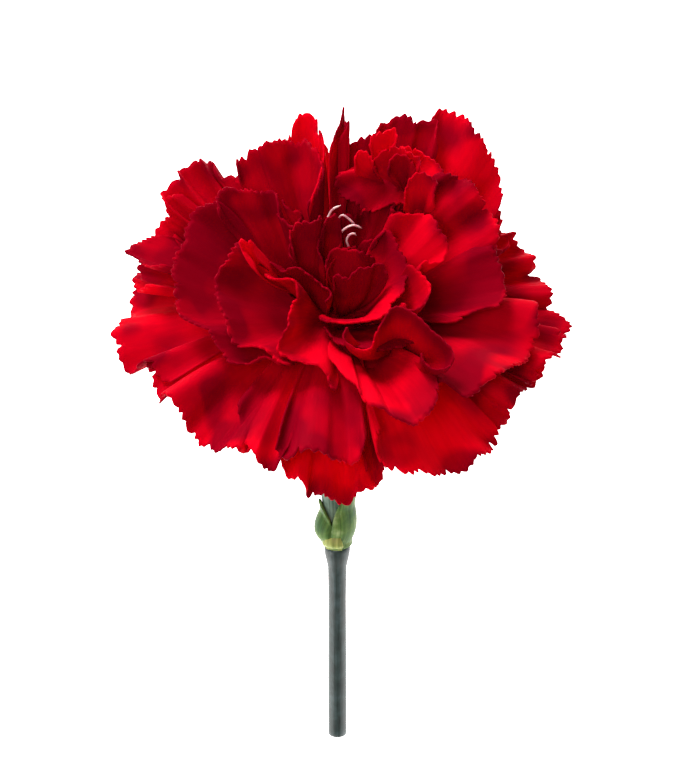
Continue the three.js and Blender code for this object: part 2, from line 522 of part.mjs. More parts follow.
/** The calyx tube, its toothed mouth and the floor inside it, ring by ring round the axis. */
function calyxGeometry() {
  const [mouthRadius, mouthHeight] = CALYX_PROFILE[CALYX_PROFILE.length - 1];
  const tooth = (turn) => {
    const place = (turn * CALYX_TEETH) % 1;
    return CALYX_TOOTH * (1 - Math.abs(2 * place - 1));
  };
  const rings = [
    ...CALYX_PROFILE.map(([radius, height]) => () => [radius, height]),
    (turn) => [mouthRadius - 0.05, mouthHeight + 0.3 + tooth(turn)],
    (turn) => [CALYX_INNER + 0.1, mouthHeight + 0.3 + tooth(turn)],
    () => [CALYX_INNER, mouthHeight],
    () => [CALYX_INNER, CALYX_FLOOR],
  ];
  const points = [];
  for (const ring of rings) {
    for (let i = 0; i < CALYX_SIDES; i++) {
      const turn = i / CALYX_SIDES;
      const [radius, height] = ring(turn);
      const angle = 2 * Math.PI * turn;
      points.push(new THREE.Vector3(radius * Math.cos(angle), radius * Math.sin(angle), height));
    }
  }
  const triangles = [];
  for (let row = 0; row < rings.length - 1; row++) {
    for (let i = 0; i < CALYX_SIDES; i++) {
      const next = (i + 1) % CALYX_SIDES;
      const [a, b] = [row * CALYX_SIDES + i, row * CALYX_SIDES + next];
      triangles.push([a, b, b + CALYX_SIDES], [a, b + CALYX_SIDES, a + CALYX_SIDES]);
    }
  }
  const foot = points.push(new THREE.Vector3(0, 0, CALYX_PROFILE[0][1])) - 1;
  const floor = points.push(new THREE.Vector3(0, 0, CALYX_FLOOR)) - 1;
  const lastRing = (rings.length - 1) * CALYX_SIDES;
  for (let i = 0; i < CALYX_SIDES; i++) {
    const next = (i + 1) % CALYX_SIDES;
    triangles.push([foot, next, i], [floor, lastRing + i, lastRing + next]);
  }
  return geometryOf(solidFrom(points, triangles));
}

/** Outer radius of the calyx tube at a height. */
function calyxRadius(height) {
  const above = CALYX_PROFILE.findIndex(([, top]) => top > height);
  if (above <= 0) return CALYX_PROFILE[0][0];
  const [[r0, h0], [r1, h1]] = [CALYX_PROFILE[above - 1], CALYX_PROFILE[above]];
  return r0 + ((r1 - r0) * (height - h0)) / (h1 - h0);
}

/** One scale: a pointed leaf bent round the calyx, bellied near its foot. */
function scaleSolid({ turn, height, spread, belly, fullness }) {
  const inner = [];
  const outer = [];
  for (let row = 0; row <= SCALE_ROWS; row++) {
    const t = row / SCALE_ROWS;
    const z = DISC.bottom + 0.1 + t * height;
    const swell = t < SCALE_BELLY_AT
      ? Math.sin((Math.PI / 2) * (t / SCALE_BELLY_AT))
      : Math.cos((Math.PI / 2) * ((t - SCALE_BELLY_AT) / (1 - SCALE_BELLY_AT))) ** 1.2;
    const closest = calyxRadius(z) + GAP + 0.05;
    const outside = Math.max(closest + SCALE_THICKNESS, 2.4 + (belly - 2.4) * swell);
    const halfTurn = THREE.MathUtils.degToRad(spread) * (1 - t ** fullness) + 0.06;
    for (let column = 0; column <= SCALE_COLUMNS; column++) {
      const v = -1 + (2 * column) / SCALE_COLUMNS;
      const angle = THREE.MathUtils.degToRad(turn) + v * halfTurn;
      const direction = new THREE.Vector3(Math.cos(angle), Math.sin(angle), 0);
      outer.push(direction.clone().multiplyScalar(outside).setZ(z));
      inner.push(direction.clone().multiplyScalar(outside - SCALE_THICKNESS).setZ(z));
    }
  }
  const wide = SCALE_COLUMNS + 1;
  const triangles = [];
  const below = outer.length;
  for (let row = 0; row < SCALE_ROWS; row++) {
    for (let column = 0; column < SCALE_COLUMNS; column++) {
      const a = row * wide + column;
      const face = [[a, a + 1, a + wide + 1], [a, a + wide + 1, a + wide]];
      triangles.push(...face, ...face.map(([p, q, r]) => [r + below, q + below, p + below]));
    }
  }
  const bottom = Array.from({ length: wide }, (_, i) => i);
  const right = Array.from({ length: SCALE_ROWS }, (_, i) => (i + 2) * wide - 1);
  const top = Array.from({ length: wide - 1 }, (_, i) => SCALE_ROWS * wide + wide - 2 - i);
  const left = Array.from({ length: SCALE_ROWS - 1 }, (_, i) => (SCALE_ROWS - 1 - i) * wide);
  const edge = [...bottom, ...right, ...top, ...left];
  edge.forEach((a, i) => {
    const b = edge[(i + 1) % edge.length];
    triangles.push([b, a, a + below], [b, a + below, b + below]);
  });
  return solidFrom([...outer, ...inner], triangles);
}

/** The scales on their disc. */
function scalesGeometry() {
  const disc = turned([
    [0, DISC.bottom],
    [DISC.radius, DISC.bottom],
    [DISC.radius, DISC.top],
    [0, DISC.top],
  ], 24);
  return geometryOf(joined([disc, ...SCALES.map(scaleSolid)]));
}

/** The stem, from its swollen top to its straight cut. */
function stemGeometry() {
  return geometryOf(turned([
    [0, -STEM_LENGTH],
    [STEM_CUT_RADIUS, -STEM_LENGTH],
    [STEM_CUT_RADIUS, -STEM_LENGTH * 0.65],
    [STEM_WAIST_RADIUS, -STEM_LENGTH * 0.3],
    [STEM_WAIST_RADIUS + 0.1, -5],
    [STEM_NODE_RADIUS - 0.3, -1.6],
    [STEM_NODE_RADIUS, -0.5],
    [STEM_NODE_RADIUS - 0.1, 0],
    [0, 0],
  ], 16));
}

/** A named mesh in its own colour. */
function piece(name, geometry, color, roughness) {
  const mesh = new THREE.Mesh(
    geometry,
    new THREE.MeshStandardMaterial({ color, roughness, metalness: 0 }),
  );
  mesh.name = name;
  return mesh;
}

// The flower, laid on its back petals and the cut end of its stem. The origin is on the table,
// under the middle of its box.
const flower = new THREE.Group();
flower.add(
  piece('stem', stemGeometry(), STEM_GREEN, 0.55),
  piece('scales', scalesGeometry(), SCALE_GREEN, 0.5),
  piece('calyx', calyxGeometry(), CALYX_GREEN, 0.6),
  piece('bloom', bloomGeometry(), PETAL_RED, 0.6),
  piece('styles', geometryOf(stylesSolid(0)), STYLE_PINK, 0.5),
);
flower.rotation.x = LIE - Math.PI / 2;

const carnation = new THREE.Group();
carnation.add(flower);
carnation.updateMatrixWorld(true);
const box = new THREE.Box3().setFromObject(carnation, true);
const middle = box.getCenter(new THREE.Vector3());
flower.position.set(-middle.x, -middle.y, -box.min.z);
carnation.updateMatrixWorld(true);

export default carnation;
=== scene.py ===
"""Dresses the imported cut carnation: every petal as a thin toothed sheet with its claw, the ribbed
calyx, the scales at its foot, the curled styles and the waxy stem, on a pale table in soft light.

Shapes are worked out in the flower frame, in millimetres: +Z up the stem from where it meets the
flower, +X to the right of the bloom, +Y to its back. LyingPose turns them into the row frame.
"""

from __future__ import annotations

import logging
import math
from dataclasses import dataclass
from enum import Enum
from typing import Iterable, Sequence

import bpy
import numpy as np
from mathutils import Matrix, Vector

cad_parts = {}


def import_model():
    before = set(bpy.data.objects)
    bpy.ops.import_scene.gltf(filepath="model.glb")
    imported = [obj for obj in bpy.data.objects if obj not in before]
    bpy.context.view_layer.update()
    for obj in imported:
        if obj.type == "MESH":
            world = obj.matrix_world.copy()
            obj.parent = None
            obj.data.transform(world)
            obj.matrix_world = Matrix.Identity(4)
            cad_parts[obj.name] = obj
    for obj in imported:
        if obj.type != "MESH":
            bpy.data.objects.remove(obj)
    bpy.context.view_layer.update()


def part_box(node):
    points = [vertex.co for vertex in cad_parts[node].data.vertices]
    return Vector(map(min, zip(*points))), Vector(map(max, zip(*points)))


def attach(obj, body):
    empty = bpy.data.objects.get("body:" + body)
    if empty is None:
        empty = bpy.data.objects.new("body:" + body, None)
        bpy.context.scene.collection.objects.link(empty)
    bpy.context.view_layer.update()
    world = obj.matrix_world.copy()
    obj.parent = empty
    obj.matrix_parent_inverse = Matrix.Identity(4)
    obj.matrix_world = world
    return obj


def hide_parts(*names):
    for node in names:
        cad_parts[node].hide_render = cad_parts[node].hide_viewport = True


LOG = logging.getLogger("carnation")
BODY = "root"
MM = 0.001                            # metres in a millimetre
TINY = 1e-9                           # the least length that is divided by
LEVEL = np.array([1.0, 1.0, 0.0])     # takes the height out of a direction
UP = np.array([0.0, 0.0, 1.0])
WHITE = "#ffffff"                     # leaves a colour that it multiplies as it is
NOISE_MIDDLE = 0.5                    # what a noise gives on average

# The photograph: its height, how large the flower is in it and from where it was taken.
PHOTO_HEIGHT = 775                    # pixels
MM_PER_PIXEL = 0.1735                 # in the plane of the flower
VIEW_ELEVATION = math.radians(30)     # of the camera above the petals' plane
VIEW_DISTANCE = 1.0                   # metres
VIEW_CENTRE = (2.26, 0.0, 31.76)      # what the middle of the picture shows, in the flower frame
SENSOR = 36.0                         # width of the camera's sensor, in millimetres

# How the flower lies, as its solids do.
LIE = math.radians(24)                # between the stem and the table


def to_linear(code: str) -> tuple[float, float, float, float]:
    """Turns an sRGB hex value such as "#c8000c" into a linear colour, by the sRGB standard's curve.

    Args:
        code: a # and six hex digits.

    Returns:
        Red, green and blue, linear, and an alpha of 1.
    """
    parts = [int(code[i:i + 2], 16) / 255 for i in (1, 3, 5)]
    linear = [p / 12.92 if p <= 0.04045 else ((p + 0.055) / 1.055) ** 2.4 for p in parts]
    return (linear[0], linear[1], linear[2], 1.0)


def scale_of(size_mm: float) -> float:
    """The scale at which noise on coordinates in metres has patches about size_mm across."""
    return 1 / (size_mm * MM)


def unit(vectors: np.ndarray) -> np.ndarray:
    """Vectors of length 1 along the last axis."""
    length = np.linalg.norm(vectors, axis=-1, keepdims=True)
    return vectors / np.maximum(length, TINY)


def smooth_step(values: np.ndarray, start: float, end: float) -> np.ndarray:
    """0 before start, 1 after end, and 3t² − 2t³ between them."""
    t = np.clip((values - start) / (end - start), 0, 1)
    return t * t * (3 - 2 * t)


def bezier(t: np.ndarray, a: np.ndarray, b: np.ndarray, c: np.ndarray, d: np.ndarray) -> np.ndarray:
    """Points of the cubic Bezier curves from a to d, drawn to b and c, at places t."""
    return (1 - t) ** 3 * a + 3 * (1 - t) ** 2 * t * b + 3 * (1 - t) * t ** 2 * c + t ** 3 * d


def round_turn(sides: int) -> np.ndarray:
    """Places from 0 to 1 once round a ring, without the end."""
    return np.linspace(0, 1, sides, endpoint=False)


def curve_through(points: Sequence[Sequence[float]], count: int) -> tuple[np.ndarray, float]:
    """A centripetal Catmull-Rom curve through the points, evenly spaced by length.

    Each span is the usual pyramid of linear blends, with knots spaced by the square root of the
    distance between the points. The end points are mirrored to give the first and last span
    their outer neighbours.

    Args:
        points: the points, two or more.
        count: how many points to return.

    Returns:
        An array of shape (count, 3) and the curve's length.
    """
    span_steps = 40
    inner = np.asarray(points, float)
    p = np.vstack([2 * inner[0] - inner[1], inner, 2 * inner[-1] - inner[-2]])
    gaps = np.sqrt(np.maximum(np.linalg.norm(np.diff(p, axis=0), axis=1), TINY))
    knot = np.concatenate([[0], np.cumsum(gaps)])
    share = np.linspace(0, 1, span_steps, endpoint=False)
    first = np.arange(1, len(p) - 2)
    t = (knot[first][:, None] + share * (knot[first + 1] - knot[first])[:, None])[..., None]

    def blend(a: np.ndarray, b: np.ndarray, start: np.ndarray, end: np.ndarray) -> np.ndarray:
        """Goes in a straight line from a at the knot start to b at the knot end."""
        low, high = start[:, None, None], end[:, None, None]
        return ((high - t) * a + (t - low) * b) / (high - low)

    k0, k1, k2, k3 = (knot[first + i] for i in (-1, 0, 1, 2))
    p0, p1, p2, p3 = (p[first + i][:, None, :] for i in (-1, 0, 1, 2))
    a1, a2, a3 = blend(p0, p1, k0, k1), blend(p1, p2, k1, k2), blend(p2, p3, k2, k3)
    b1, b2 = blend(a1, a2, k0, k2), blend(a2, a3, k1, k3)
    dense = np.vstack([blend(b1, b2, k1, k2).reshape(-1, 3), inner[-1:]])
    run = np.concatenate([[0], np.cumsum(np.linalg.norm(np.diff(dense, axis=0), axis=1))])
    even = np.linspace(0, run[-1], count)
    return np.stack([np.interp(even, run, dense[:, i]) for i in range(3)], -1), float(run[-1])


@dataclass(frozen=True)
class LyingPose:
    """Where the flower frame lies in the row frame.

    Attributes:
        shift: the flower frame's origin in the row frame, in millimetres.
    """

    shift: np.ndarray

    @classmethod
    def of_stem(cls, stem: Stem, low: Vector, high: Vector) -> LyingPose:
        """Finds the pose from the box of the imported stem.

        Args:
            stem: the stem's sizes.
            low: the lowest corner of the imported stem's box, in metres.
            high: its highest corner.

        Returns:
            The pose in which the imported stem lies.
        """
        x = (low.x + high.x) / 2 / MM
        y = high.y / MM - stem.packed_top_radius * math.sin(LIE)
        z = low.z / MM + stem.cut_radius * math.cos(LIE) + stem.length * math.sin(LIE)
        return cls(np.array([x, y, z]))

    def turn(self, vectors: np.ndarray) -> np.ndarray:
        """Turns directions about +X, so that the stem's axis slopes up at the angle LIE.

        Args:
            vectors: directions in the flower frame.

        Returns:
            The same directions in the row frame.
        """
        x, y, z = np.moveaxis(vectors, -1, 0)
        across = y * math.sin(LIE) + z * math.cos(LIE)
        up = -y * math.cos(LIE) + z * math.sin(LIE)
        return np.stack([x, across, up], -1)

    def place(self, points: np.ndarray) -> np.ndarray:
        """Turns points of the flower frame, in millimetres, into the row frame, in metres."""
        return (self.turn(points) + self.shift) * MM


def write_uv(mesh: bpy.types.Mesh, name: str, pairs: np.ndarray) -> None:
    """Adds a UV layer to a mesh.

    Args:
        mesh: the mesh, with its faces.
        name: of the layer.
        pairs: (u, v) for each point of the mesh, on the last axis.
    """
    corner = np.empty(len(mesh.loops), np.int32)
    mesh.loops.foreach_get("vertex_index", corner)
    layer = mesh.uv_layers.new(name=name)
    layer.data.foreach_set("uv", pairs.reshape(-1, 2)[corner].ravel())


def new_piece(name: str, points: np.ndarray, faces: list, uv: np.ndarray,
              material: bpy.types.Material) -> bpy.types.Object:
    """Puts points and faces into a smooth mesh object at the origin.

    Args:
        name: the piece's name.
        points: its points in the row frame, in metres.
        faces: lists of point numbers.
        uv: (u, v) for each point, in metres.
        material: its finish.

    Returns:
        The object, linked to the scene.
    """
    mesh = bpy.data.meshes.new(name)
    mesh.from_pydata(points.reshape(-1, 3).tolist(), [], faces)
    write_uv(mesh, "surface", uv)
    mesh.shade_smooth()
    mesh.materials.append(material)
    piece = bpy.data.objects.new(name, mesh)
    bpy.context.scene.collection.objects.link(piece)
    return piece


def give_thickness(piece: bpy.types.Object, thickness: float, offset: float) -> None:
    """Makes a sheet a thin solid.

    Args:
        piece: the sheet.
        thickness: in millimetres.
        offset: 0 to thicken both ways, -1 to thicken behind the faces alone.
    """
    skin = piece.modifiers.new("thickness", "SOLIDIFY")
    skin.thickness = thickness * MM
    skin.offset = offset


def grid_faces(rows: int, columns: int, closed: bool = False) -> list:
    """Quads of a grid of points numbered row by row.

    Args:
        rows: how many rows of points there are.
        columns: how many points a row has.
        closed: whether the last column joins the first.

    Returns:
        The faces, as lists of point numbers.
    """
    number = np.arange(rows * columns).reshape(rows, columns)
    if closed:
        number = np.hstack([number, number[:, :1]])
    quads = np.stack([number[:-1, :-1], number[:-1, 1:], number[1:, 1:], number[1:, :-1]], -1)
    return quads.reshape(-1, 4).tolist()


def closed_tube(name: str, rings: np.ndarray, u: np.ndarray, v: np.ndarray, pose: LyingPose,
                material: bpy.types.Material) -> bpy.types.Object:
    """A closed skin through rings of points, with each end closed by a fan about its middle.

    Args:
        name: the piece's name.
        rings: points of shape (rows, columns, 3) in the flower frame, anticlockwise seen from the
            last ring's side.
        u: the first surface coordinate in millimetres, in a shape that spreads over the rings.
        v: the second one.
        pose: where the flower lies.
        material: its finish.

    Returns:
        The piece.
    """
    rows, columns = rings.shape[:2]
    ends = np.stack([rings[0].mean(0), rings[-1].mean(0)])
    points = np.vstack([rings.reshape(-1, 3), ends])
    column = np.arange(columns)
    after = np.roll(column, -1)
    first = np.full(columns, rows * columns)
    base = (rows - 1) * columns
    fans = np.vstack([np.stack([first, after, column], -1),
                      np.stack([first + 1, base + column, base + after], -1)])
    faces = grid_faces(rows, columns, closed=True) + fans.tolist()
    shape = (rows, columns)
    pairs = np.stack([np.broadcast_to(u, shape), np.broadcast_to(v, shape)], -1).reshape(-1, 2)
    pairs = np.vstack([pairs, pairs[0], pairs[-1]]) * MM
    return new_piece(name, pose.place(points), faces, pairs, material)


def rings_along(path: np.ndarray, radius: np.ndarray, sides: int) -> np.ndarray:
    """Rings of points round a path, each square to it.

    The first side direction is square to the path's start; each next one is the last one with
    its part along the path taken out, so that the rings don't twist.

    Args:
        path: points of shape (count, 3).
        radius: a radius for each point.
        sides: how many points a ring has.

    Returns:
        Points of shape (count, sides, 3).
    """
    aslant = (0.3, 0.9, 0.2)          # a direction that no path starts in
    ahead = unit(np.gradient(path, axis=0))
    side = np.cross(ahead[0], aslant)
    turn = 2 * math.pi * round_turn(sides)
    rings = []
    for place, forward, size in zip(path, ahead, radius):
        side = unit(side - forward * (side @ forward))
        other = np.cross(forward, side)
        ring = np.cos(turn)[:, None] * side + np.sin(turn)[:, None] * other
        rings.append(place + size * ring)
    return np.stack(rings)


def revolved(radius: np.ndarray, height: np.ndarray, sides: int) -> np.ndarray:
    """Rings of points about the stem's axis.

    Args:
        radius: of each ring, or of shape (rows, sides) where it changes round the axis.
        height: in the same shape.
        sides: how many points a ring has.

    Returns:
        Points of shape (rows, sides, 3).
    """
    if radius.ndim == 1:
        radius, height = radius[:, None], height[:, None]
    turn = 2 * math.pi * round_turn(sides)
    height = np.broadcast_to(height, (len(height), sides))
    return np.stack([radius * np.cos(turn), radius * np.sin(turn), height], -1)


def turned_piece(name: str, profile: Sequence[tuple[float, float]], sides: int, pose: LyingPose,
                 material: bpy.types.Material) -> bpy.types.Object:
    """A small closed piece revolved about the axis, with its pattern seen from above.

    Args:
        name: the piece's name.
        profile: (radius, height) of its rings, from the bottom up.
        sides: how many points a ring has.
        pose: where the flower lies.
        material: its finish.

    Returns:
        The piece.
    """
    radius, height = np.array(profile).T
    rings = revolved(radius, height, sides)
    return closed_tube(name, rings, rings[..., 0], rings[..., 1], pose, material)


# Finishes.


class Slot(Enum):
    """The material slots of the record."""

    STEM = "stem_skin"
    SCALE = "scale_leaf"
    CALYX = "calyx_skin"
    PETAL = "petal"
    STYLE = "style"


# A Mix node's settings and the numbers of its sockets, where it mixes colours.
MIX = {"data_type": "RGBA"}
MULTIPLY = {"data_type": "RGBA", "blend_type": "MULTIPLY"}
SHARE = 0
FIRST = 6
SECOND = 7
MIXED = 2


class Finish:
    """A procedural material under construction, round one Principled shader."""

    def __init__(self, name: str, values: dict) -> None:
        """Starts the material.

        Args:
            name: what the real material is.
            values: a value for each input of the shader that isn't at its default.
        """
        self.material = bpy.data.materials.new(name)
        self.material.use_nodes = True
        self.tree = self.material.node_tree
        self.shader = self.tree.nodes["Principled BSDF"]
        self.feed(self.shader, values)

    def feed(self, node: bpy.types.Node, values: dict) -> None:
        """Gives a node's inputs their values and links.

        Args:
            node: the node.
            values: for each input, by name or number, a value, an output socket, or a node whose
                first output is meant.
        """
        for key, value in values.items():
            if isinstance(value, bpy.types.Node):
                value = value.outputs[0]
            if isinstance(value, bpy.types.NodeSocket):
                self.tree.links.new(value, node.inputs[key])
            else:
                node.inputs[key].default_value = value

    def node(self, kind: str, values: dict | None = None, settings: dict | None = None,
             stops: Iterable[tuple[float, str]] = ()) -> bpy.types.Node:
        """Adds a node.

        Args:
            kind: the node's type, without the ShaderNode in front.
            values: what feeds its inputs, as in feed.
            settings: attributes of the node.
            stops: a colour ramp's places and sRGB hex values.

        Returns:
            The node.
        """
        made = self.tree.nodes.new("ShaderNode" + kind)
        for key, value in (settings or {}).items():
            setattr(made, key, value)
        self.feed(made, values or {})
        for number, (place, code) in enumerate(stops):
            elements = made.color_ramp.elements
            stop = elements[number] if number < len(elements) else elements.new(place)
            stop.position = place
            stop.color = to_linear(code)
        return made

    def lines_along(self, surface: bpy.types.Node | bpy.types.NodeSocket, spacing_mm: float,
                    stretch: float, detail: float, roughness: float = 0.5) -> bpy.types.Node:
        """Noise that is drawn out along a surface into lines.

        Args:
            surface: (across, along) in metres.
            spacing_mm: distance between lines.
            stretch: how fast the noise changes along them, beside how fast it does across.
            detail: of the noise.
            roughness: of the noise.

        Returns:
            The noise node.
        """
        across = scale_of(spacing_mm)
        drawn = self.node("Mapping", {"Vector": surface, "Scale": (across, stretch * across, 1)})
        return self.node("TexNoise", {
            "Vector": drawn, "Scale": 1.0, "Detail": detail, "Roughness": roughness})


@dataclass(frozen=True)
class PetalFinish:
    """Carnation petal: a thin velvety skin of small domed cells over soft tissue.

    The cells scatter light, so it is matte with a faint pale sheen at grazing angles. It is thin
    enough for light to come through, which makes the lit folds glow a purer red. Fine veins fan
    out to the teeth, and the claw fades to a pale green.

    Attributes:
        lit: the colour of a bright petal in full light.
        deep: the colour of a deep crimson one, which also stands for painted shade.
        through: the light that comes through a bright petal.
        dim: the light that comes through a deep one.
        claw: the colour of the claw's foot.
        glint: the tint of the gloss.
        velvet: the tint of the sheen.
        roughness: of the skin.
        specular: its gloss, low because the cells scatter it.
        ior: of plant tissue.
        sheen: weight of the sheen.
        sheen_roughness: of the sheen.
        translucency: how much of the light comes through.
        patch_mm: size of the soft patches of tone.
        patchiness: how far they vary it.
        rim_shade_from: the share of the blade's length from which blotches of painted shade deepen
            the tone, where the drooping rims turn away from the light.
        rim_shade_depth: how far the painted shade deepens it.
        shade_blotch_mm: size of the blotches of painted shade.
        shade_blotch_range: the values of the noise between which a blotch sets in.
        vein_spacing_mm: distance between veins.
        vein_height_mm: of a vein.
        vein_stretch: as stretch in Finish.lines_along.
        vein_shade: what the furrows beside the veins keep of the colour.
        furrow_range: the values of the noise between which a furrow rises to a vein.
        cell_mm: size of a patch of cells, drawn larger than life so that it shows.
        cell_height_mm: of such a patch.
        claw_fade_mm: where the claw's green starts and ends to turn red.
    """

    lit: str = "#d8001c"
    deep: str = "#8c0018"
    through: str = "#f40818"
    dim: str = "#b4001c"
    claw: str = "#c9cf9a"
    glint: str = "#ff3048"
    velvet: str = "#ff3050"
    roughness: float = 0.6
    specular: float = 0.03
    ior: float = 1.4
    sheen: float = 0.03
    sheen_roughness: float = 0.35
    translucency: float = 0.3
    patch_mm: float = 14.0
    patchiness: float = 0.8
    rim_shade_from: float = 0.5
    rim_shade_depth: float = 0.75
    shade_blotch_mm: float = 9.0
    shade_blotch_range: tuple[float, float] = (0.42, 0.6)
    vein_spacing_mm: float = 0.9
    vein_height_mm: float = 0.05
    vein_stretch: float = 0.09
    vein_shade: str = "#f0f0f0"
    furrow_range: tuple[float, float] = (0.35, 0.65)
    cell_mm: float = 0.35
    cell_height_mm: float = 0.04
    claw_fade_mm: tuple[float, float] = (2.0, 8.0)

    def build(self) -> bpy.types.Material:
        """Makes the material. UV is (across, along) the petal in metres, from the end of the claw.

        Returns:
            The material.
        """
        finish = Finish("carnation petal skin", {
            "Roughness": self.roughness,
            "IOR": self.ior,
            "Specular IOR Level": self.specular,
            "Specular Tint": to_linear(self.glint),
            "Sheen Weight": self.sheen,
            "Sheen Roughness": self.sheen_roughness,
            "Sheen Tint": to_linear(self.velvet),
        })
        place = finish.node("TexCoord").outputs["Object"]
        surface = finish.node("UVMap", settings={"uv_map": "surface"})
        tone = self.tone(finish, place)
        veins = finish.lines_along(surface, self.vein_spacing_mm, self.vein_stretch, detail=2.0,
                                   roughness=0.55)

        # Bright or deep red by the tone, which holds painted light and shade as well as the petal's
        # colour, darker in the furrows, and pale green at the claw's foot.
        tone_range = (NOISE_MIDDLE * self.patchiness, 1.0)
        red = finish.node("ValToRGB", {0: tone}, stops=zip(tone_range, (self.deep, self.lit)))
        furrows = finish.node("ValToRGB", {0: veins},
                              stops=zip(self.furrow_range, (self.vein_shade, WHITE)))
        veined = finish.node("Mix", {SHARE: 1.0, FIRST: red, SECOND: furrows}, MULTIPLY)
        along = finish.node("SeparateXYZ", {0: surface}).outputs["Y"]
        above_claw = finish.node("MapRange", {
            "Value": along, "From Min": self.claw_fade_mm[0] * MM,
            "From Max": self.claw_fade_mm[1] * MM})
        green = to_linear(self.claw)
        skin = finish.node("Mix", {
            SHARE: above_claw, FIRST: green, SECOND: veined.outputs[MIXED]}, MIX)

        ridges = finish.node("Bump", {
            "Height": veins, "Strength": 0.5, "Distance": self.vein_height_mm * MM})
        cells = finish.node("TexNoise", {
            "Vector": place, "Scale": scale_of(self.cell_mm), "Detail": 1.0})
        bumps = finish.node("Bump", {
            "Height": cells, "Strength": 0.25, "Distance": self.cell_height_mm * MM,
            "Normal": ridges})
        finish.feed(finish.shader, {"Base Color": skin.outputs[MIXED], "Normal": bumps})

        # The light that comes through from behind, by the same tone.
        glow = finish.node("ValToRGB", {0: tone}, stops=zip(tone_range, (self.dim, self.through)))
        passed = finish.node("Mix", {SHARE: above_claw, FIRST: green, SECOND: glow}, MIX)
        behind = finish.node("BsdfTranslucent", {"Color": passed.outputs[MIXED], "Normal": bumps})
        both = finish.node("MixShader", {0: self.translucency, 1: finish.shader, 2: behind})
        finish.feed(finish.tree.nodes["Material Output"], {"Surface": both})
        return finish.material

    def tone(self, finish: Finish, place: bpy.types.NodeSocket) -> bpy.types.Node:
        """The tone all over a petal: its own colour and painted light, varied in soft patches, and
        deepened near the rim by blotches of painted shade.

        Args:
            finish: the material under construction.
            place: Object coordinates.

        Returns:
            A node that gives the tone, from 0 to 1.
        """
        layer = finish.node("UVMap", settings={"uv_map": "tone"})
        own = finish.node("SeparateXYZ", {0: layer})
        # Blotches of painted shade, deepening the tone towards the rim where the drooping rims turn
        # away from the light.
        near_rim = finish.node("MapRange", {"Value": own.outputs["Y"], "From Min": self.rim_shade_from})
        noise = finish.node("TexNoise", {
            "Vector": place, "Scale": scale_of(self.shade_blotch_mm), "Detail": 1.0})
        rim_shade_blotches = finish.node("MapRange", {
            "Value": noise, "From Min": self.shade_blotch_range[0], "From Max": self.shade_blotch_range[1],
            "To Max": -self.rim_shade_depth})
        rim_shaded = finish.node("Math", {0: near_rim, 1: rim_shade_blotches, 2: own.outputs["X"]},
                            {"operation": "MULTIPLY_ADD"})
        patches = finish.node("TexNoise", {
            "Vector": place, "Scale": scale_of(self.patch_mm), "Detail": 3.0})
        return finish.node("Math", {0: patches, 1: self.patchiness, 2: rim_shaded},
                           {"operation": "MULTIPLY_ADD", "use_clamp": True})


@dataclass(frozen=True)
class SkinFinish:
    """Green plant skin: chlorophyll under a thin waxy layer, with fine ribs along it.

    The wax gives a soft broad highlight and a greyish cast; patches of it are thicker. UV is
    (round, along) the piece in metres.

    Attributes:
        name: what the skin is.
        base: its colour.
        wax: its colour where the wax is thick.
        dark: its colour where the wax is thin.
        rib_spacing_mm: distance between ribs.
        rib_height_mm: of a rib.
        roughness: of the wax.
        patch_mm: size of the patches of wax.
        gloss: specular level of the wax.
        ior: of plant wax.
        rib_stretch: as stretch in Finish.lines_along.
        rib_shade: what the furrows between the ribs keep of the colour.
        wax_steps: the values of the noise at which the skin is dark, plain and waxy.
        furrow_range: the values of the noise between which a furrow rises to a rib.
    """

    name: str
    base: str
    wax: str
    dark: str
    rib_spacing_mm: float
    rib_height_mm: float
    roughness: float
    patch_mm: float = 3.0
    gloss: float = 0.12
    ior: float = 1.45
    rib_stretch: float = 0.04
    rib_shade: str = "#c4c8c0"
    wax_steps: tuple[float, float, float] = (0.32, 0.5, 0.7)
    furrow_range: tuple[float, float] = (0.35, 0.6)

    def build(self) -> bpy.types.Material:
        """Makes the material.

        Returns:
            The material.
        """
        finish = Finish(self.name, {
            "Roughness": self.roughness, "IOR": self.ior, "Specular IOR Level": self.gloss})
        place = finish.node("TexCoord")
        patches = finish.node("TexNoise", {
            "Vector": place.outputs["Object"], "Scale": scale_of(self.patch_mm), "Detail": 4.0})
        green = finish.node("ValToRGB", {0: patches},
                            stops=zip(self.wax_steps, (self.dark, self.base, self.wax)))
        ribs = finish.lines_along(place.outputs["UV"], self.rib_spacing_mm, self.rib_stretch,
                                  detail=1.5)
        furrows = finish.node("ValToRGB", {0: ribs},
                              stops=zip(self.furrow_range, (self.rib_shade, WHITE)))
        ribbed = finish.node("Mix", {SHARE: 1.0, FIRST: green, SECOND: furrows}, MULTIPLY)
        bumps = finish.node("Bump", {
            "Height": ribs, "Strength": 0.7, "Distance": self.rib_height_mm * MM})
        finish.feed(finish.shader, {"Base Color": ribbed.outputs[MIXED], "Normal": bumps})
        return finish.material


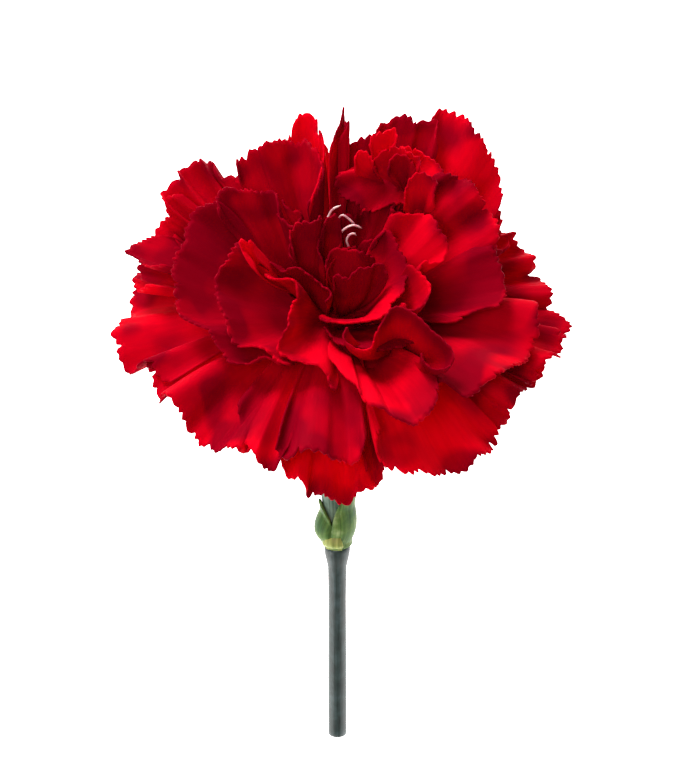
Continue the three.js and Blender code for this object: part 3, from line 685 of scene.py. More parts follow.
@dataclass(frozen=True)
class StyleFinish:
    """Style and stigma tissue: pale, moist and slightly see-through, pinker towards its foot.

    Attributes:
        tip: its pale colour.
        foot: its pink one.
        roughness: of its moist skin.
        ior: of plant tissue.
        depth: weight of the light that spreads under the skin.
        spread_mm: how far red, green and blue light spread.
        patch_mm: size of the patches of the two colours.
        patch_range: the values of the noise between which one colour turns to the other.
        grain_mm: size of the cells that show.
        grain_height_mm: of such a cell.
    """

    tip: str = "#e6bcb8"
    foot: str = "#c87c8c"
    roughness: float = 0.42
    ior: float = 1.4
    depth: float = 0.25
    spread_mm: tuple[float, float, float] = (0.6, 0.3, 0.25)
    patch_mm: float = 1.6
    patch_range: tuple[float, float] = (0.35, 0.6)
    grain_mm: float = 0.3
    grain_height_mm: float = 0.08

    def build(self) -> bpy.types.Material:
        """Makes the material.

        Returns:
            The material.
        """
        finish = Finish("carnation style tissue", {
            "Roughness": self.roughness,
            "IOR": self.ior,
            "Subsurface Weight": self.depth,
            "Subsurface Radius": [spread * MM for spread in self.spread_mm],
            "Subsurface Scale": 1.0,
        })
        place = finish.node("TexCoord").outputs["Object"]
        patches = finish.node("TexNoise", {
            "Vector": place, "Scale": scale_of(self.patch_mm), "Detail": 2.0})
        pink = finish.node("ValToRGB", {0: patches},
                           stops=zip(self.patch_range, (self.foot, self.tip)))
        grain = finish.node("TexNoise", {
            "Vector": place, "Scale": scale_of(self.grain_mm), "Detail": 1.0})
        bumps = finish.node("Bump", {
            "Height": grain, "Strength": 0.5, "Distance": self.grain_height_mm * MM})
        finish.feed(finish.shader, {"Base Color": pink, "Normal": bumps})
        return finish.material


@dataclass(frozen=True)
class TableFinish:
    """White acrylic of a light table: a pale plain surface that glows softly.

    Attributes:
        shade: the colour of its faint patches.
        white: its colour elsewhere, and that of its light.
        glow: strength of the light.
        roughness: of the acrylic.
        ior: of acrylic, near enough.
        patch_mm: size of the patches.
        patch_range: the values of the noise between which a patch fades.
    """

    shade: str = "#fafafa"
    white: str = WHITE
    glow: float = 2.3
    roughness: float = 0.7
    ior: float = 1.45
    patch_mm: float = 60.0
    patch_range: tuple[float, float] = (0.3, 0.7)

    def build(self) -> bpy.types.Material:
        """Makes the material.

        Returns:
            The material.
        """
        finish = Finish("white light table acrylic", {
            "Roughness": self.roughness,
            "IOR": self.ior,
            "Emission Color": to_linear(self.white),
            "Emission Strength": self.glow,
        })
        patches = finish.node("TexNoise", {
            "Vector": finish.node("TexCoord").outputs["Object"],
            "Scale": scale_of(self.patch_mm), "Detail": 1.0})
        pale = finish.node("ValToRGB", {0: patches},
                           stops=zip(self.patch_range, (self.shade, self.white)))
        finish.feed(finish.shader, {"Base Color": pale})
        return finish.material


# Petals.


@dataclass(frozen=True)
class PetalPlan:
    """Where one petal opens and where its toothed rim runs, in the flower frame.

    Attributes:
        name: of the petal.
        heart: where the blade opens out of the bundle of claws: its distance from the axis and
            its height, or its place.
        lean: the angle from the axis at which the blade starts and ends, in degrees.
        folds: height in millimetres, waves across the petal and phase in degrees.
        rim: points on the toothed edge, from one corner to the other, in millimetres.
        reach: length of the blade's end tangents, as a share of the way from heart to rim.
        curl: how far the outer part of the rim rises above the blade, in millimetres.
        teeth: how deep the teeth are beside a guard petal's.
        tone: from 0 for a deep crimson petal to 1 for a bright one: partly the petal's own colour
            and partly painted light and shade, high where the petal is lit and low where it lies in
            shade.
    """

    name: str
    heart: tuple[float, ...]
    lean: tuple[float, float]
    folds: tuple[float, float, float]
    rim: tuple[tuple[float, float, float], ...]
    reach: float = 0.36
    curl: float = 0.0
    teeth: float = 1.0
    tone: float = 0.5


# The tones paint light and shade as well as colour: a lit petal is given a high tone, a shaded one
# a low one.
PETALS: tuple[PetalPlan, ...] = (
    # guard petals, which droop over the calyx
    PetalPlan("guard_left", (6, 42), (50, 105), (2.0, 2.6, 20), tone=0.33, rim=(
        (-32, 12, 45.5), (-36, 8, 46.5), (-36.5, 0, 45.5), (-38.5, -6, 44), (-36, -12, 43),
        (-32, -15, 43.5), (-29, -18, 43.5))),
    PetalPlan("guard_lower_left", (6, 41), (45, 112), (2.2, 3.2, 20), tone=0.38, rim=(
        (-33.5, -9, 43), (-32, -14, 42.5), (-31, -20, 42), (-27.5, -25, 41.5), (-24, -29, 38.5),
        (-19.5, -32, 37), (-15.5, -34, 37.5), (-15, -31, 39.5))),
    PetalPlan("guard_front_left", (6, 43), (45, 110), (1.6, 2, 0), tone=0.6, rim=(
        (-17, -26, 43), (-15.5, -32, 41), (-14, -36, 38), (-10.5, -37, 38), (-8, -34, 39))),
    PetalPlan("guard_front", (6, 38), (50, 118), (1.2, 3.8, 10), tone=0.7, rim=(
        (-10, -32, 35), (-6, -35, 32.5), (-2.5, -36, 30.5), (3, -36, 30.5), (6, -35, 32.5),
        (8, -32, 34.5))),
    PetalPlan("guard_front_tuck", (6, 38), (50, 115), (0.8, 2, 10), tone=0.35, rim=(
        (5, -32, 35), (7, -34, 32.5), (8.5, -33, 34), (9.5, -32, 36), (9.5, -28, 37.5))),
    PetalPlan("guard_front_right", (6, 44), (48, 112), (0.9, 2.7, 90), teeth=1.4, tone=0.75, rim=(
        (7, -31, 42.5), (8, -35, 39.5), (11.5, -36, 36), (16, -35, 34.4), (21, -32.5, 34),
        (26, -28.5, 35), (28, -25, 37.5))),
    PetalPlan("guard_lower_right", (6, 42), (48, 110), (1.6, 2.2, 0), tone=0.3, rim=(
        (25.5, -23, 34.5), (28.5, -22, 36.5), (30.5, -20, 39.5), (32, -17, 40.5),
        (35, -13, 40.5), (35.5, -10, 42))),
    PetalPlan("guard_right", (6, 43), (50, 102), (1.6, 2.2, 120), tone=0.35, rim=(
        (32.5, -17, 42.5), (36, -13, 42.5), (38.5, -9, 43), (39.5, -6, 43.5), (38.5, -3, 44),
        (38, 0, 45))),
    PetalPlan("guard_spur", (6, 45), (55, 92), (0.7, 1, 0), tone=0.3, rim=(
        (37, -3, 43.5), (40, -2, 43), (41, 0, 43.5), (39, 2, 44.5), (36.5, 4, 45.5))),
    PetalPlan("guard_upper_right", (6, 46), (50, 88), (1.5, 3.2, 40), tone=0.35, rim=(
        (28.5, 14, 56), (31, 13, 54.5), (34, 11, 52), (36, 8, 48.5), (37.5, 5, 47),
        (36.5, 2, 45))),
    PetalPlan("apron", (6, 46), (50, 112), (1.4, 2.2, 40), tone=0.3, rim=(
        (-10, -34, 41.5), (-9.5, -37, 40), (-6, -38, 40.5), (-1, -38, 39.5), (3.5, -38, 40),
        (5, -34, 41.5))),
    # the second layer, wide bowls above the guard petals
    PetalPlan("bowl_right", (6, 44), (55, 100), (1.7, 2.2, 30), teeth=0.8, tone=0.42, rim=(
        (16, -21, 47.5), (18.5, -25.5, 47), (21.5, -27, 47), (27, -24, 46.5), (31.5, -18, 47),
        (34.5, -11.5, 48.5), (34.5, -7.5, 50), (31.5, -3, 49.5))),
    PetalPlan("bowl_upper_right", (5, 46), (60, 70), (0.8, 2, 80), teeth=0.8, tone=0.22, rim=(
        (17.5, -12, 51.5), (22.5, -11.5, 53), (28, -10, 54), (28.5, -6, 56.5), (28, -2.5, 58.5),
        (27, 0, 60.5))),
    PetalPlan("bowl_left", (5, 45), (55, 60), (1.1, 3.2, 200), teeth=0.8, tone=0.15, rim=(
        (-21, 5, 66.5), (-25, 4, 64), (-27, 0, 60), (-29, -3, 58), (-28, -9, 55),
        (-24, -15, 52), (-19, -20, 50), (-13.5, -23, 50.5), (-9.5, -24, 50.5))),
    PetalPlan("bowl_left_inner", (5, 46), (55, 60), (1.0, 2.4, 30), teeth=0.8, tone=0.3, rim=(
        (-17.5, -4, 63), (-19.5, -8, 61), (-20, -13, 57.5), (-19.5, -17, 54.5),
        (-16, -21, 52.5), (-11.5, -24, 51), (-8, -25, 50.5))),
    PetalPlan("point_left", (6, 47), (55, 70), (0.5, 1.4, 0), teeth=0.8, tone=0.2, rim=(
        (-29, 8, 57.5), (-32, 8, 57.5), (-35.5, 6, 56.5), (-37, 4, 55.5), (-34.5, 2, 55.5),
        (-30, -2, 57.5))),
    PetalPlan("point_left_under", (6, 44), (55, 80), (0.8, 2, 0), teeth=0.8, tone=0.6, rim=(
        (-32, 8, 52), (-35, 8, 52), (-34, 6, 50.5), (-35.5, 4, 50.5), (-32, -3, 52.5))),
    PetalPlan("point_left_over", (6, 47), (50, 60), (0.6, 2, 0), teeth=0.8, tone=0.3, rim=(
        (-32.5, 10, 56), (-31, 11, 58), (-29.5, 11, 60.5), (-30, 11, 62.5), (-27.5, 10, 65))),
    PetalPlan("shoulder_left", (6, 48), (40, 42), (1.6, 3.4, 0), teeth=0.8, tone=0.3, rim=(
        (-30, 10, 63.5), (-29, 13, 65), (-27, 16, 66.5), (-23.5, 18, 67), (-21, 17, 66),
        (-19, 15, 65), (-16.5, 14, 66))),
    PetalPlan("shoulder_right", (5, 49), (50, 55), (0.8, 2.4, 60), teeth=0.8, tone=0.45, rim=(
        (17.5, 8, 70), (21, 7.5, 69.5), (24, 6, 68.5), (26, 4, 65), (28, 2, 63.5),
        (28.5, 0, 62), (27.5, -1.5, 60))),
    # the crown, upright at the back
    PetalPlan("crown_right", (6, 49), (25, 25), (1.0, 2.2, 100), tone=0.45, rim=(
        (16, 19, 73.5), (18, 20, 76), (20.5, 19.5, 76), (23.5, 18, 74.3), (26.3, 16, 71.3),
        (27.8, 13.5, 67), (29, 11, 62.7), (28.2, 9.5, 60.2), (26.5, 8, 58.5))),
    PetalPlan("crown_middle", (6, 49), (22, 12), (1.2, 2, 10), tone=0.12, rim=(
        (6.5, 16, 73.5), (9, 18, 74.5), (12, 19, 75.5), (14.5, 19, 74.5), (16.5, 17, 75),
        (18, 15, 72.5))),
    PetalPlan("crown_back", (5, 49), (15, 12), (0.5, 3, 0), tone=0.05, rim=(
        (-1, 12, 70), (1, 16, 73), (3, 15, 72), (4.5, 16, 73), (7.5, 17, 73.5))),
    PetalPlan("crown_spike", (5, 49), (12, 4), (0.3, 1, 40), teeth=0.5, tone=0.4, rim=(
        (-1.5, 11, 72.5), (-0.7, 12.5, 74.8), (0.3, 14.5, 76.6), (1.1, 16, 78.4),
        (1.2, 15.5, 76.3), (0.9, 13.5, 73.7))),
    PetalPlan("crown_spike_small", (5, 48), (12, 4), (0.2, 1, 0), teeth=0.5, tone=0.3, rim=(
        (0.2, 12.5, 73.6), (1.1, 13.2, 75.6), (1.9, 14, 77.6), (1.8, 13.4, 75.7),
        (1.6, 12.5, 73.8))),
    PetalPlan("crown_fold", (5, 48), (20, 15), (0.8, 1.4, 160), tone=1.0, rim=(
        (-9, 19, 70), (-8, 20, 72), (-6.5, 21, 74.5), (-4.5, 21, 74.5), (-3.5, 19, 72),
        (-1.5, 17, 70.5))),
    PetalPlan("crown_left", (5, 48), (25, 18), (1.0, 2.4, 200), tone=0.25, rim=(
        (-17, 11.5, 67.7), (-17.2, 12, 69.6), (-16.2, 13, 71), (-14.6, 13.5, 71.7),
        (-13.4, 13.8, 71), (-13.2, 14, 72.3), (-12.2, 14.5, 72.8), (-10.1, 15, 72.7),
        (-8.1, 15, 72.1), (-5.8, 14.5, 72.6), (-3.8, 12.5, 72.5), (-3.2, 9.5, 70.4),
        (-4.1, 7, 67.8), (-5.1, 4, 65.9))),
    PetalPlan("crown_left_fold", (4, 48), (20, 10), (0.1, 1, 0), teeth=0.3, tone=1.0, rim=(
        (-4.9, 4, 64.7), (-4.3, 5.5, 67), (-3.1, 8, 69), (-2.3, 10, 70.5), (-2, 12, 71.9),
        (-2.6, 14, 74), (-3.2, 14.5, 75.1))),
    # the inner petals, curled round the heart
    PetalPlan("shell_left", (5, 49), (40, 25), (1.0, 2.8, 20), teeth=0.65, tone=0.35, rim=(
        (-20.5, 2, 65.5), (-19.5, 5, 68), (-16, 6, 68), (-12.5, 6, 67.5), (-10, 4, 66.5),
        (-8.5, 0, 63), (-7.5, -3, 58.5))),
    PetalPlan("shell_left_scrap", (4, 51), (30, 25), (0.3, 1, 0), teeth=0.65, tone=0.5, rim=(
        (-9.5, 6, 66), (-8, 5, 64.5), (-6, 5, 64), (-6.5, 3, 62.5))),
    PetalPlan("curl_left", (4, 50), (50, 30), (0.4, 1.5, 0), curl=1.0, teeth=0.65, tone=1.0, rim=(
        (-15.5, -11, 62.5), (-16.3, -10, 63.9), (-16.8, -9, 66.3), (-15.6, -8.4, 66.1),
        (-14.6, -8, 65.4), (-13.4, -9, 62.9))),
    PetalPlan("sweep_left", (4, 48), (55, 60), (0.8, 2.4, 0), teeth=0.65, tone=0.3, rim=(
        (-13.5, -9, 61), (-10.5, -7, 60), (-6, -9, 59.5), (-2, -10, 58.5), (-1, -12, 58),
        (-2, -14, 56.5))),
    PetalPlan("curl_front_left", (4, 47), (55, 60), (0.9, 3, 20), teeth=0.65, tone=0.7, rim=(
        (-12.5, -10, 60), (-9.5, -12, 60), (-7.5, -14, 59), (-6.5, -15, 57.5),
        (-8.5, -18, 55.5), (-9.5, -21, 54), (-8.5, -23.5, 52), (-6, -25.5, 50.5),
        (-2.5, -26.5, 50.5), (0, -29, 48))),
    PetalPlan("tongue", (4, 44), (80, 104), (0.8, 1.6, 0), teeth=0.65, tone=0.7, rim=(
        (-1.5, -22, 50.2), (0.5, -27, 50.5), (4, -31, 49.7), (4.7, -33, 47.9),
        (7.1, -34.5, 46.7), (8.5, -35, 45), (12.5, -35.5, 44.1), (14, -35, 44.5),
        (16.1, -32, 46.1), (17.3, -29, 47.2), (16.8, -25, 48.8))),
    PetalPlan("arch", (10.5, -13, 47.5), (85, 15), (0.2, 1, 0), teeth=0.35, tone=0.5, rim=(
        (2.3, -21.5, 56.1), (1.8, -22.5, 54.7), (2.7, -23, 53.7), (4, -23, 52.9),
        (5.4, -22.5, 52.7), (6.3, -21.5, 54.6), (8, -20, 56.8), (9.8, -19, 58.5),
        (10.9, -19, 58.2), (12.4, -19.5, 57.6), (14.6, -21, 56.3), (16.5, -22, 54.6),
        (17.7, -22.5, 53.6), (19.1, -23.5, 52.1), (18.6, -25, 50.9), (16.8, -26, 50.8),
        (15.1, -26, 51.8), (14.6, -25, 53.3))),
    PetalPlan("under_cup", (4, 45), (60, 85), (0.4, 2, 0), teeth=0.65, tone=0.1, rim=(
        (-2.5, -14, 51.1), (0.2, -19, 51.8), (3.6, -21, 51.6), (8, -21, 51.6),
        (12.1, -19, 51.8), (15.5, -15, 52.1))),
    PetalPlan("under_heart", (4, 38), (60, 20), (0, 1, 0), teeth=0.2, tone=0.1, rim=(
        (-0.3, 3, 43.9), (2.6, 3, 45.1), (6.1, 3, 45.5), (9.5, 3, 45.3), (12.6, 3, 44.1))),
    PetalPlan("cup_right", (3, 46), (60, 50), (0.3, 3, 0), reach=0.42, curl=-1.6,
              teeth=0.7, tone=0.6, rim=(
        (-2.6, -12.3, 54.5), (0.1, -15.1, 55.5), (2.5, -16.5, 56.1), (4.6, -16.5, 56.5),
        (7, -15.5, 57.1), (9, -13.1, 57.4), (10.4, -10.8, 57.8), (11, -8.5, 58.5),
        (11.3, -6.7, 60), (11, -5, 61.4), (9.9, -3.7, 62.7), (8.9, -3, 63.5), (7.9, -2.6, 64),
        (7.4, -2.2, 61.8))),
    PetalPlan("cup_small", (4, 48), (70, 30), (0.3, 1, 0), teeth=0.65, tone=0.65, rim=(
        (12.5, -7, 60.5), (15, -9, 59), (16, -11, 58), (15, -14, 57), (12.5, -15, 56),
        (11.5, -14, 57))),
    PetalPlan("heart_front", (2, 48), (50, 10), (0.3, 2.4, 0), reach=0.4,
              teeth=0.65, tone=0.3, rim=(
        (-1, -6, 57.9), (-0.8, -5, 60.3), (-0.4, -4, 60.9), (1.8, -4, 61.1), (3.4, -3.5, 61.6),
        (5, -3, 60.6), (7, -2, 58.5))),
    PetalPlan("heart_step", (2, 47), (50, 15), (0.3, 3, 0), reach=0.4, teeth=0.65, tone=0.15, rim=(
        (-0.8, -9, 56.1), (-0.3, -8.5, 58.9), (1.8, -9, 59), (3.6, -9, 60.2), (5.3, -8.5, 60.3),
        (7.9, -7, 60), (9.1, -7, 58.5))),
    PetalPlan("heart_inner", (2, 50), (30, 15), (0.3, 2, 0), teeth=0.65, tone=0.3, rim=(
        (-0.5, -1.5, 61), (1.5, -2, 60.2), (3.5, -1, 60), (5.5, 0, 61.3), (7.5, 0.5, 61))),
    PetalPlan("heart_left", (2, 49), (35, 5), (0.3, 2, 0), reach=0.4, teeth=0.65, tone=0.4, rim=(
        (-2.6, -5, 59.5), (-3.1, -4, 61.5), (-2.4, -2.5, 63.9), (-1.7, -1, 65.6),
        (-0.3, 0, 66.4), (0.5, 0, 64.8), (0.7, -0.5, 62.4), (0, -2, 60.3), (-1.5, -6, 58.3))),
    PetalPlan("heart_left_outer", (3, 49), (40, 12), (0.5, 2, 0), teeth=0.65, tone=0.35, rim=(
        (-8, -6, 61.8), (-7.7, -4, 65), (-6.2, -3, 66.1), (-4.4, -2.5, 66.1), (-3, -2, 67),
        (-2.4, -1.5, 64.9), (-2.6, -1, 61.5))),
    PetalPlan("heart_back", (3, 50), (30, 10), (0.9, 3, 0), teeth=0.65, tone=0.3, rim=(
        (1, 6, 63), (4, 7, 62.5), (6, 7, 63.5), (9, 6, 64.5), (11, 4, 64))),
    PetalPlan("heart_right", (3, 49), (50, 40), (1.0, 2.2, 0), teeth=0.65, tone=0.6, rim=(
        (10, 3, 64.5), (13, 1, 65.5), (15.5, 0, 66), (18, -2, 64.5), (19, -4, 62.5),
        (17, -6, 60.5), (14.5, -8, 59))),
    # the rosette, a second small heart at the back right, on its own bundle of claws
    PetalPlan("rosette_lip", (11, 12, 66), (65, 112), (0.5, 3, 0), teeth=1.2, tone=0.4, rim=(
        (2.3, 10, 69.3), (0.7, 9, 68.7), (-0.8, 8, 68), (0, 7, 66.6), (1.1, 6, 65.2),
        (2.9, 5.5, 64.1), (5, 5.2, 63.7), (7.4, 5.4, 64), (9.8, 5.6, 64.3), (11.9, 5.6, 64.7),
        (13.2, 5.8, 65.5))),
    PetalPlan("rosette_tip", (9, 11, 68), (20, 5), (0.5, 1.5, 0), teeth=0.8, tone=1.0, rim=(
        (5.8, 8.5, 73.8), (6.2, 9.5, 76.3), (7.4, 10.5, 76.6), (8.6, 11, 76.9), (9.8, 11, 77.1),
        (9.6, 10, 75.3), (8.8, 9, 73.9))),
    PetalPlan("rosette_scrap", (8, 10, 66), (20, 5), (0.3, 1, 0), teeth=0.8, tone=0.8, rim=(
        (2.8, 8, 70.6), (3.5, 8.5, 73), (4.7, 8.6, 73.7), (5.9, 8.4, 73.1), (7.1, 8, 71.3))),
    PetalPlan("rosette_outer", (12, 9, 66), (20, 10), (0.2, 1, 0), teeth=0.6, tone=0.9, rim=(
        (10.5, 12.5, 72.8), (12.9, 12, 72.7), (15.1, 11.5, 72), (17, 10, 71.1), (17.9, 8, 70.2),
        (17.5, 6.5, 69))),
    PetalPlan("rosette_inner", (11, 9, 66), (15, 25), (0.4, 2.4, 0), teeth=0.9, tone=0.6, rim=(
        (5.9, 7.5, 70.4), (6.7, 8, 72.5), (8.4, 9, 74.3), (10.5, 9, 74.5), (12.5, 8.5, 74),
        (13.7, 7.5, 72.8), (14.1, 6, 71.6))),
    PetalPlan("rosette_core", (12, 9, 65), (20, 30), (0.3, 1.6, 60), teeth=0.8, tone=0.4, rim=(
        (8.4, 6.4, 70.6), (9.3, 6.8, 72.7), (10.8, 7, 73.6), (12.3, 6.8, 73.1), (13.5, 6, 71.2))),
    PetalPlan("rosette_fold", (14, 6, 62), (30, 20), (0.5, 1.2, 0), teeth=0.8, tone=0.75, rim=(
        (11.2, 3.2, 65.4), (11.3, 3.6, 67.9), (12.5, 4.4, 70.5), (14.6, 5, 71),
        (16.9, 4.6, 70.6), (17.1, 3.4, 68.2), (17, 2.8, 66.2))),
)


@dataclass(frozen=True)
class BackRing:
    """A ring of petals that the photograph doesn't show, at the back or under the front.

    Attributes:
        name: of the ring.
        turns: the petals' directions, in degrees from +X towards +Y.
        half_width: half a petal's width, in degrees.
        heart: distance from the axis and height of the hearts.
        reaches: how far each petal's rim is from the axis.
        heights: how high each rim is.
        lean: as in PetalPlan.
        folds: as in PetalPlan.
        steps: places of the rim's points, from one corner to the other.
        corner_back: how much less far the corners reach than the middle.
        corner_drop: how much lower the corners are than the middle.
        phase_step: what is added to the phase of the folds from petal to petal, in degrees.
    """

    name: str
    turns: tuple[float, ...]
    half_width: float
    heart: tuple[float, float]
    reaches: tuple[float, ...]
    heights: tuple[float, ...]
    lean: tuple[float, float]
    folds: tuple[float, float, float]
    steps: tuple[float, ...] = (-1.0, -0.55, 0.0, 0.55, 1.0)
    corner_back: float = 3.5
    corner_drop: float = 1.5
    phase_step: float = 70.0

    def plans(self) -> list[PetalPlan]:
        """Works out the ring's petals. A rim is an arc whose corners drop back and down.

        Returns:
            Their plans.
        """
        step = np.array(self.steps)
        made = []
        for i, (turn, reach, height) in enumerate(zip(self.turns, self.reaches, self.heights)):
            angle = np.radians(turn + step * self.half_width)
            out = reach - self.corner_back * np.abs(step) ** 3
            drop = self.corner_drop * step ** 2
            rim = np.stack([out * np.cos(angle), out * np.sin(angle), height - drop], -1)
            fold_height, waves, phase = self.folds
            folds = (fold_height, waves, phase + self.phase_step * i)
            made.append(PetalPlan(f"{self.name}_{i + 1}", self.heart, self.lean, folds,
                                  tuple(map(tuple, rim.tolist()))))
        return made


BACK_RINGS = (
    BackRing("table_guard", (62, 90, 118), 17, (6, 42), (47.7, 46.7, 47.7), (43, 47, 43), (74, 24),
             (0.8, 2.6, 0)),
    BackRing("back_guard", (34, 146), 17, (6, 43), (38, 38), (45, 45), (58, 84), (1.3, 3.2, 0)),
    BackRing("back_bowl", (26, 52, 78, 103, 128, 153), 17, (6, 47), (31, 33, 34, 34, 33, 31),
             (57, 58, 59, 59, 58, 57), (55, 52), (1.1, 2.6, 60)),
    BackRing("back_crown", (40, 72, 104, 136), 20, (5, 50), (24, 26, 26, 24), (64, 65, 65, 64),
             (40, 34), (1, 2.4, 120)),
    BackRing("collar", (228, 270, 312), 27, (4, 40), (15, 16, 15), (43.5, 43.5, 43.5), (60, 85),
             (0.4, 2, 0)),
)


@dataclass(frozen=True)
class Fringe:
    """The toothed edge of a petal.

    It is a row of uneven rounded lobes. Each lobe has a few uneven teeth that lean to one side:
    they rise slowly and drop fast. Now and then a narrow slit is cut deeper between them.

    Attributes:
        seed: of the random numbers of the first petal's edge.
        lobe_mm: width of a lobe.
        lobe_depth: depth of the notch between lobes, in millimetres.
        lobe_power: of the sine that rounds a lobe; below 1 makes it fuller.
        fewest_lobes: on the shortest edge.
        tooth_mm: width of a tooth.
        tooth_depth: depth of the notch between teeth, in millimetres.
        tooth_rise: the share of its width over which a tooth rises.
        tooth_power: of its rise; below 1 makes it fuller.
        fewest_teeth: on the shortest edge.
        slit_mm: distance between slits.
        slit_places: least and greatest place of a slit, as a share of the edge.
        slit_depths: least and greatest depth of a slit, in millimetres.
        slit_halves: least and greatest half width of a slit, in millimetres.
        uneven_widths: least and greatest width of a lobe or tooth beside a common one.
        uneven_depths: least and greatest depth beside a common one.
    """

    seed: int = 1000
    lobe_mm: float = 5.0
    lobe_depth: float = 1.0
    lobe_power: float = 0.6
    fewest_lobes: int = 2
    tooth_mm: float = 1.3
    tooth_depth: float = 0.95
    tooth_rise: float = 0.6
    tooth_power: float = 0.8
    fewest_teeth: int = 4
    slit_mm: float = 11.0
    slit_places: tuple[float, float] = (0.08, 0.92)
    slit_depths: tuple[float, float] = (0.7, 1.7)
    slit_halves: tuple[float, float] = (0.25, 0.5)
    uneven_widths: tuple[float, float] = (0.5, 1.5)
    uneven_depths: tuple[float, float] = (0.3, 1.0)

    def cut(self, v: np.ndarray, length: float, petal_seed: int) -> np.ndarray:
        """How far the edge is cut back at each place across a petal.

        Args:
            v: places across the petal, from -1 to 1.
            length: of the edge, in millimetres.
            petal_seed: the petal's own seed.

        Returns:
            The depth of the cut at each place, in millimetres.
        """
        random = np.random.default_rng(self.seed + petal_seed)
        t = (v + 1) / 2
        lobe, deep = self.uneven(t, max(self.fewest_lobes, int(length / self.lobe_mm)), random)
        cut = (1 - np.sin(math.pi * lobe) ** self.lobe_power) * deep * self.lobe_depth
        tooth, deep = self.uneven(t, max(self.fewest_teeth, int(length / self.tooth_mm)), random)
        rise = np.where(tooth < self.tooth_rise, tooth / self.tooth_rise,
                        (1 - tooth) / (1 - self.tooth_rise))
        cut = cut + (1 - np.clip(rise, 0, 1) ** self.tooth_power) * deep * self.tooth_depth
        for _ in range(max(1, int(length / self.slit_mm))):
            middle = random.uniform(*self.slit_places)
            deep = random.uniform(*self.slit_depths)
            half = random.uniform(*self.slit_halves) / length
            cut = cut + deep * np.clip(1 - np.abs(t - middle) / half, 0, 1)
        return cut

    def uneven(self, t: np.ndarray, count: int,
               random: np.random.Generator) -> tuple[np.ndarray, np.ndarray]:
        """Splits 0 to 1 into uneven steps.

        Args:
            t: places from 0 to 1.
            count: how many steps there are.
            random: the stream of random numbers.

        Returns:
            How far through its step each place is, and its step's own random depth.
        """
        edge = np.concatenate([[0], np.cumsum(random.uniform(*self.uneven_widths, count))])
        edge /= edge[-1]
        depth = random.uniform(*self.uneven_depths, count)
        step = np.clip(np.searchsorted(edge, t, side="right") - 1, 0, count - 1)
        return np.clip((t - edge[step]) / (edge[step + 1] - edge[step]), 0, 1), depth[step]


@dataclass(frozen=True)
class Relief:
    """The waves that raise a blade from its smooth form.

    The plan's folds grow towards the rim, as a power of the way s from the root, and wander
    across it. Shorter ones join them near the rim, a few broad billows cover the whole blade,
    and the corners are calmer than the rest.

    Attributes:
        seed: of the first petal's random phases.
        growth: power of s with which the folds grow.
        wander: how far the folds stray sideways, as a share of half the petal.
        wander_waves: radians of straying across half the petal.
        wander_root: the share of the straying at the root.
        second: the second waves' height beside the folds', their power of s, and how many there
            are for each fold.
        edge: the same of the finest waves, at the edge.
        edge_slant: how far the edge waves run aslant, in radians from root to rim.
        billow: height of the broad billows, in millimetres.
        broad: radians of the broader billow, from root to rim and across half the petal.
        narrow: radians of the narrower billow.
        narrow_share: its height beside the broader one's.
        calm_from: the place across the petal from which the corners calm the folds.
        calm: the share of the folds that is lost at a corner.
        curl_range: the places along the blade between which the plan's curl rises.
    """

    seed: int = 300
    growth: float = 1.5
    wander: float = 0.10
    wander_waves: float = 2.6
    wander_root: float = 0.4
    second: tuple[float, float, float] = (0.20, 3.0, 1.7)
    edge: tuple[float, float, float] = (0.10, 6.0, 3.6)
    edge_slant: float = 1.5
    billow: float = 0.7
    broad: tuple[float, float] = (2.2, 1.9)
    narrow: tuple[float, float] = (4.3, 3.4)
    narrow_share: float = 0.5
    calm_from: float = 0.8
    calm: float = 0.6
    curl_range: tuple[float, float] = (0.72, 1.1)

    def height(self, s: np.ndarray, v: np.ndarray, plan: PetalPlan, petal_seed: int) -> np.ndarray:
        """Height of the waves above the smooth blade.

        Args:
            s: places along the blade, from 0 at its root to 1 at its rim, as a column.
            v: places across it, from -1 to 1, as a row.
            plan: the petal's plan.
            petal_seed: the petal's own seed.

        Returns:
            The height at each (s, v), in millimetres.
        """
        fold_height, waves, phase = plan.folds
        random = np.random.default_rng(self.seed + petal_seed)
        sway, second_phase, edge_phase, *billow_phases = random.uniform(0, 2 * math.pi, 7)
        straying = self.wander_root + (1 - self.wander_root) * s
        bent = v + self.wander * np.sin(self.wander_waves * v + sway) * straying
        turns = math.pi * waves
        folds = s ** self.growth * np.cos(turns * bent + math.radians(phase))
        share, growth, number = self.second
        folds = folds + share * s ** growth * np.cos(turns * number * bent + second_phase)
        share, growth, number = self.edge
        slant = edge_phase + self.edge_slant * s
        folds = folds + share * s ** growth * np.cos(turns * number * v + slant)
        billow = self.product(s, v, self.broad, billow_phases[:2])
        billow = billow + self.narrow_share * self.product(s, v, self.narrow, billow_phases[2:])
        corner = np.clip((np.abs(v) - self.calm_from) / (1 - self.calm_from), 0, 1)
        raised = fold_height * folds * (1 - self.calm * corner ** 2) + self.billow * billow * s
        return raised + plan.curl * smooth_step(s, *self.curl_range)

    @staticmethod
    def product(s: np.ndarray, v: np.ndarray, radians: tuple[float, float],
                phases: Sequence[float]) -> np.ndarray:
        """A sine along the blade times a cosine across it."""
        return np.sin(radians[0] * s + phases[0]) * np.cos(radians[1] * v + phases[1])


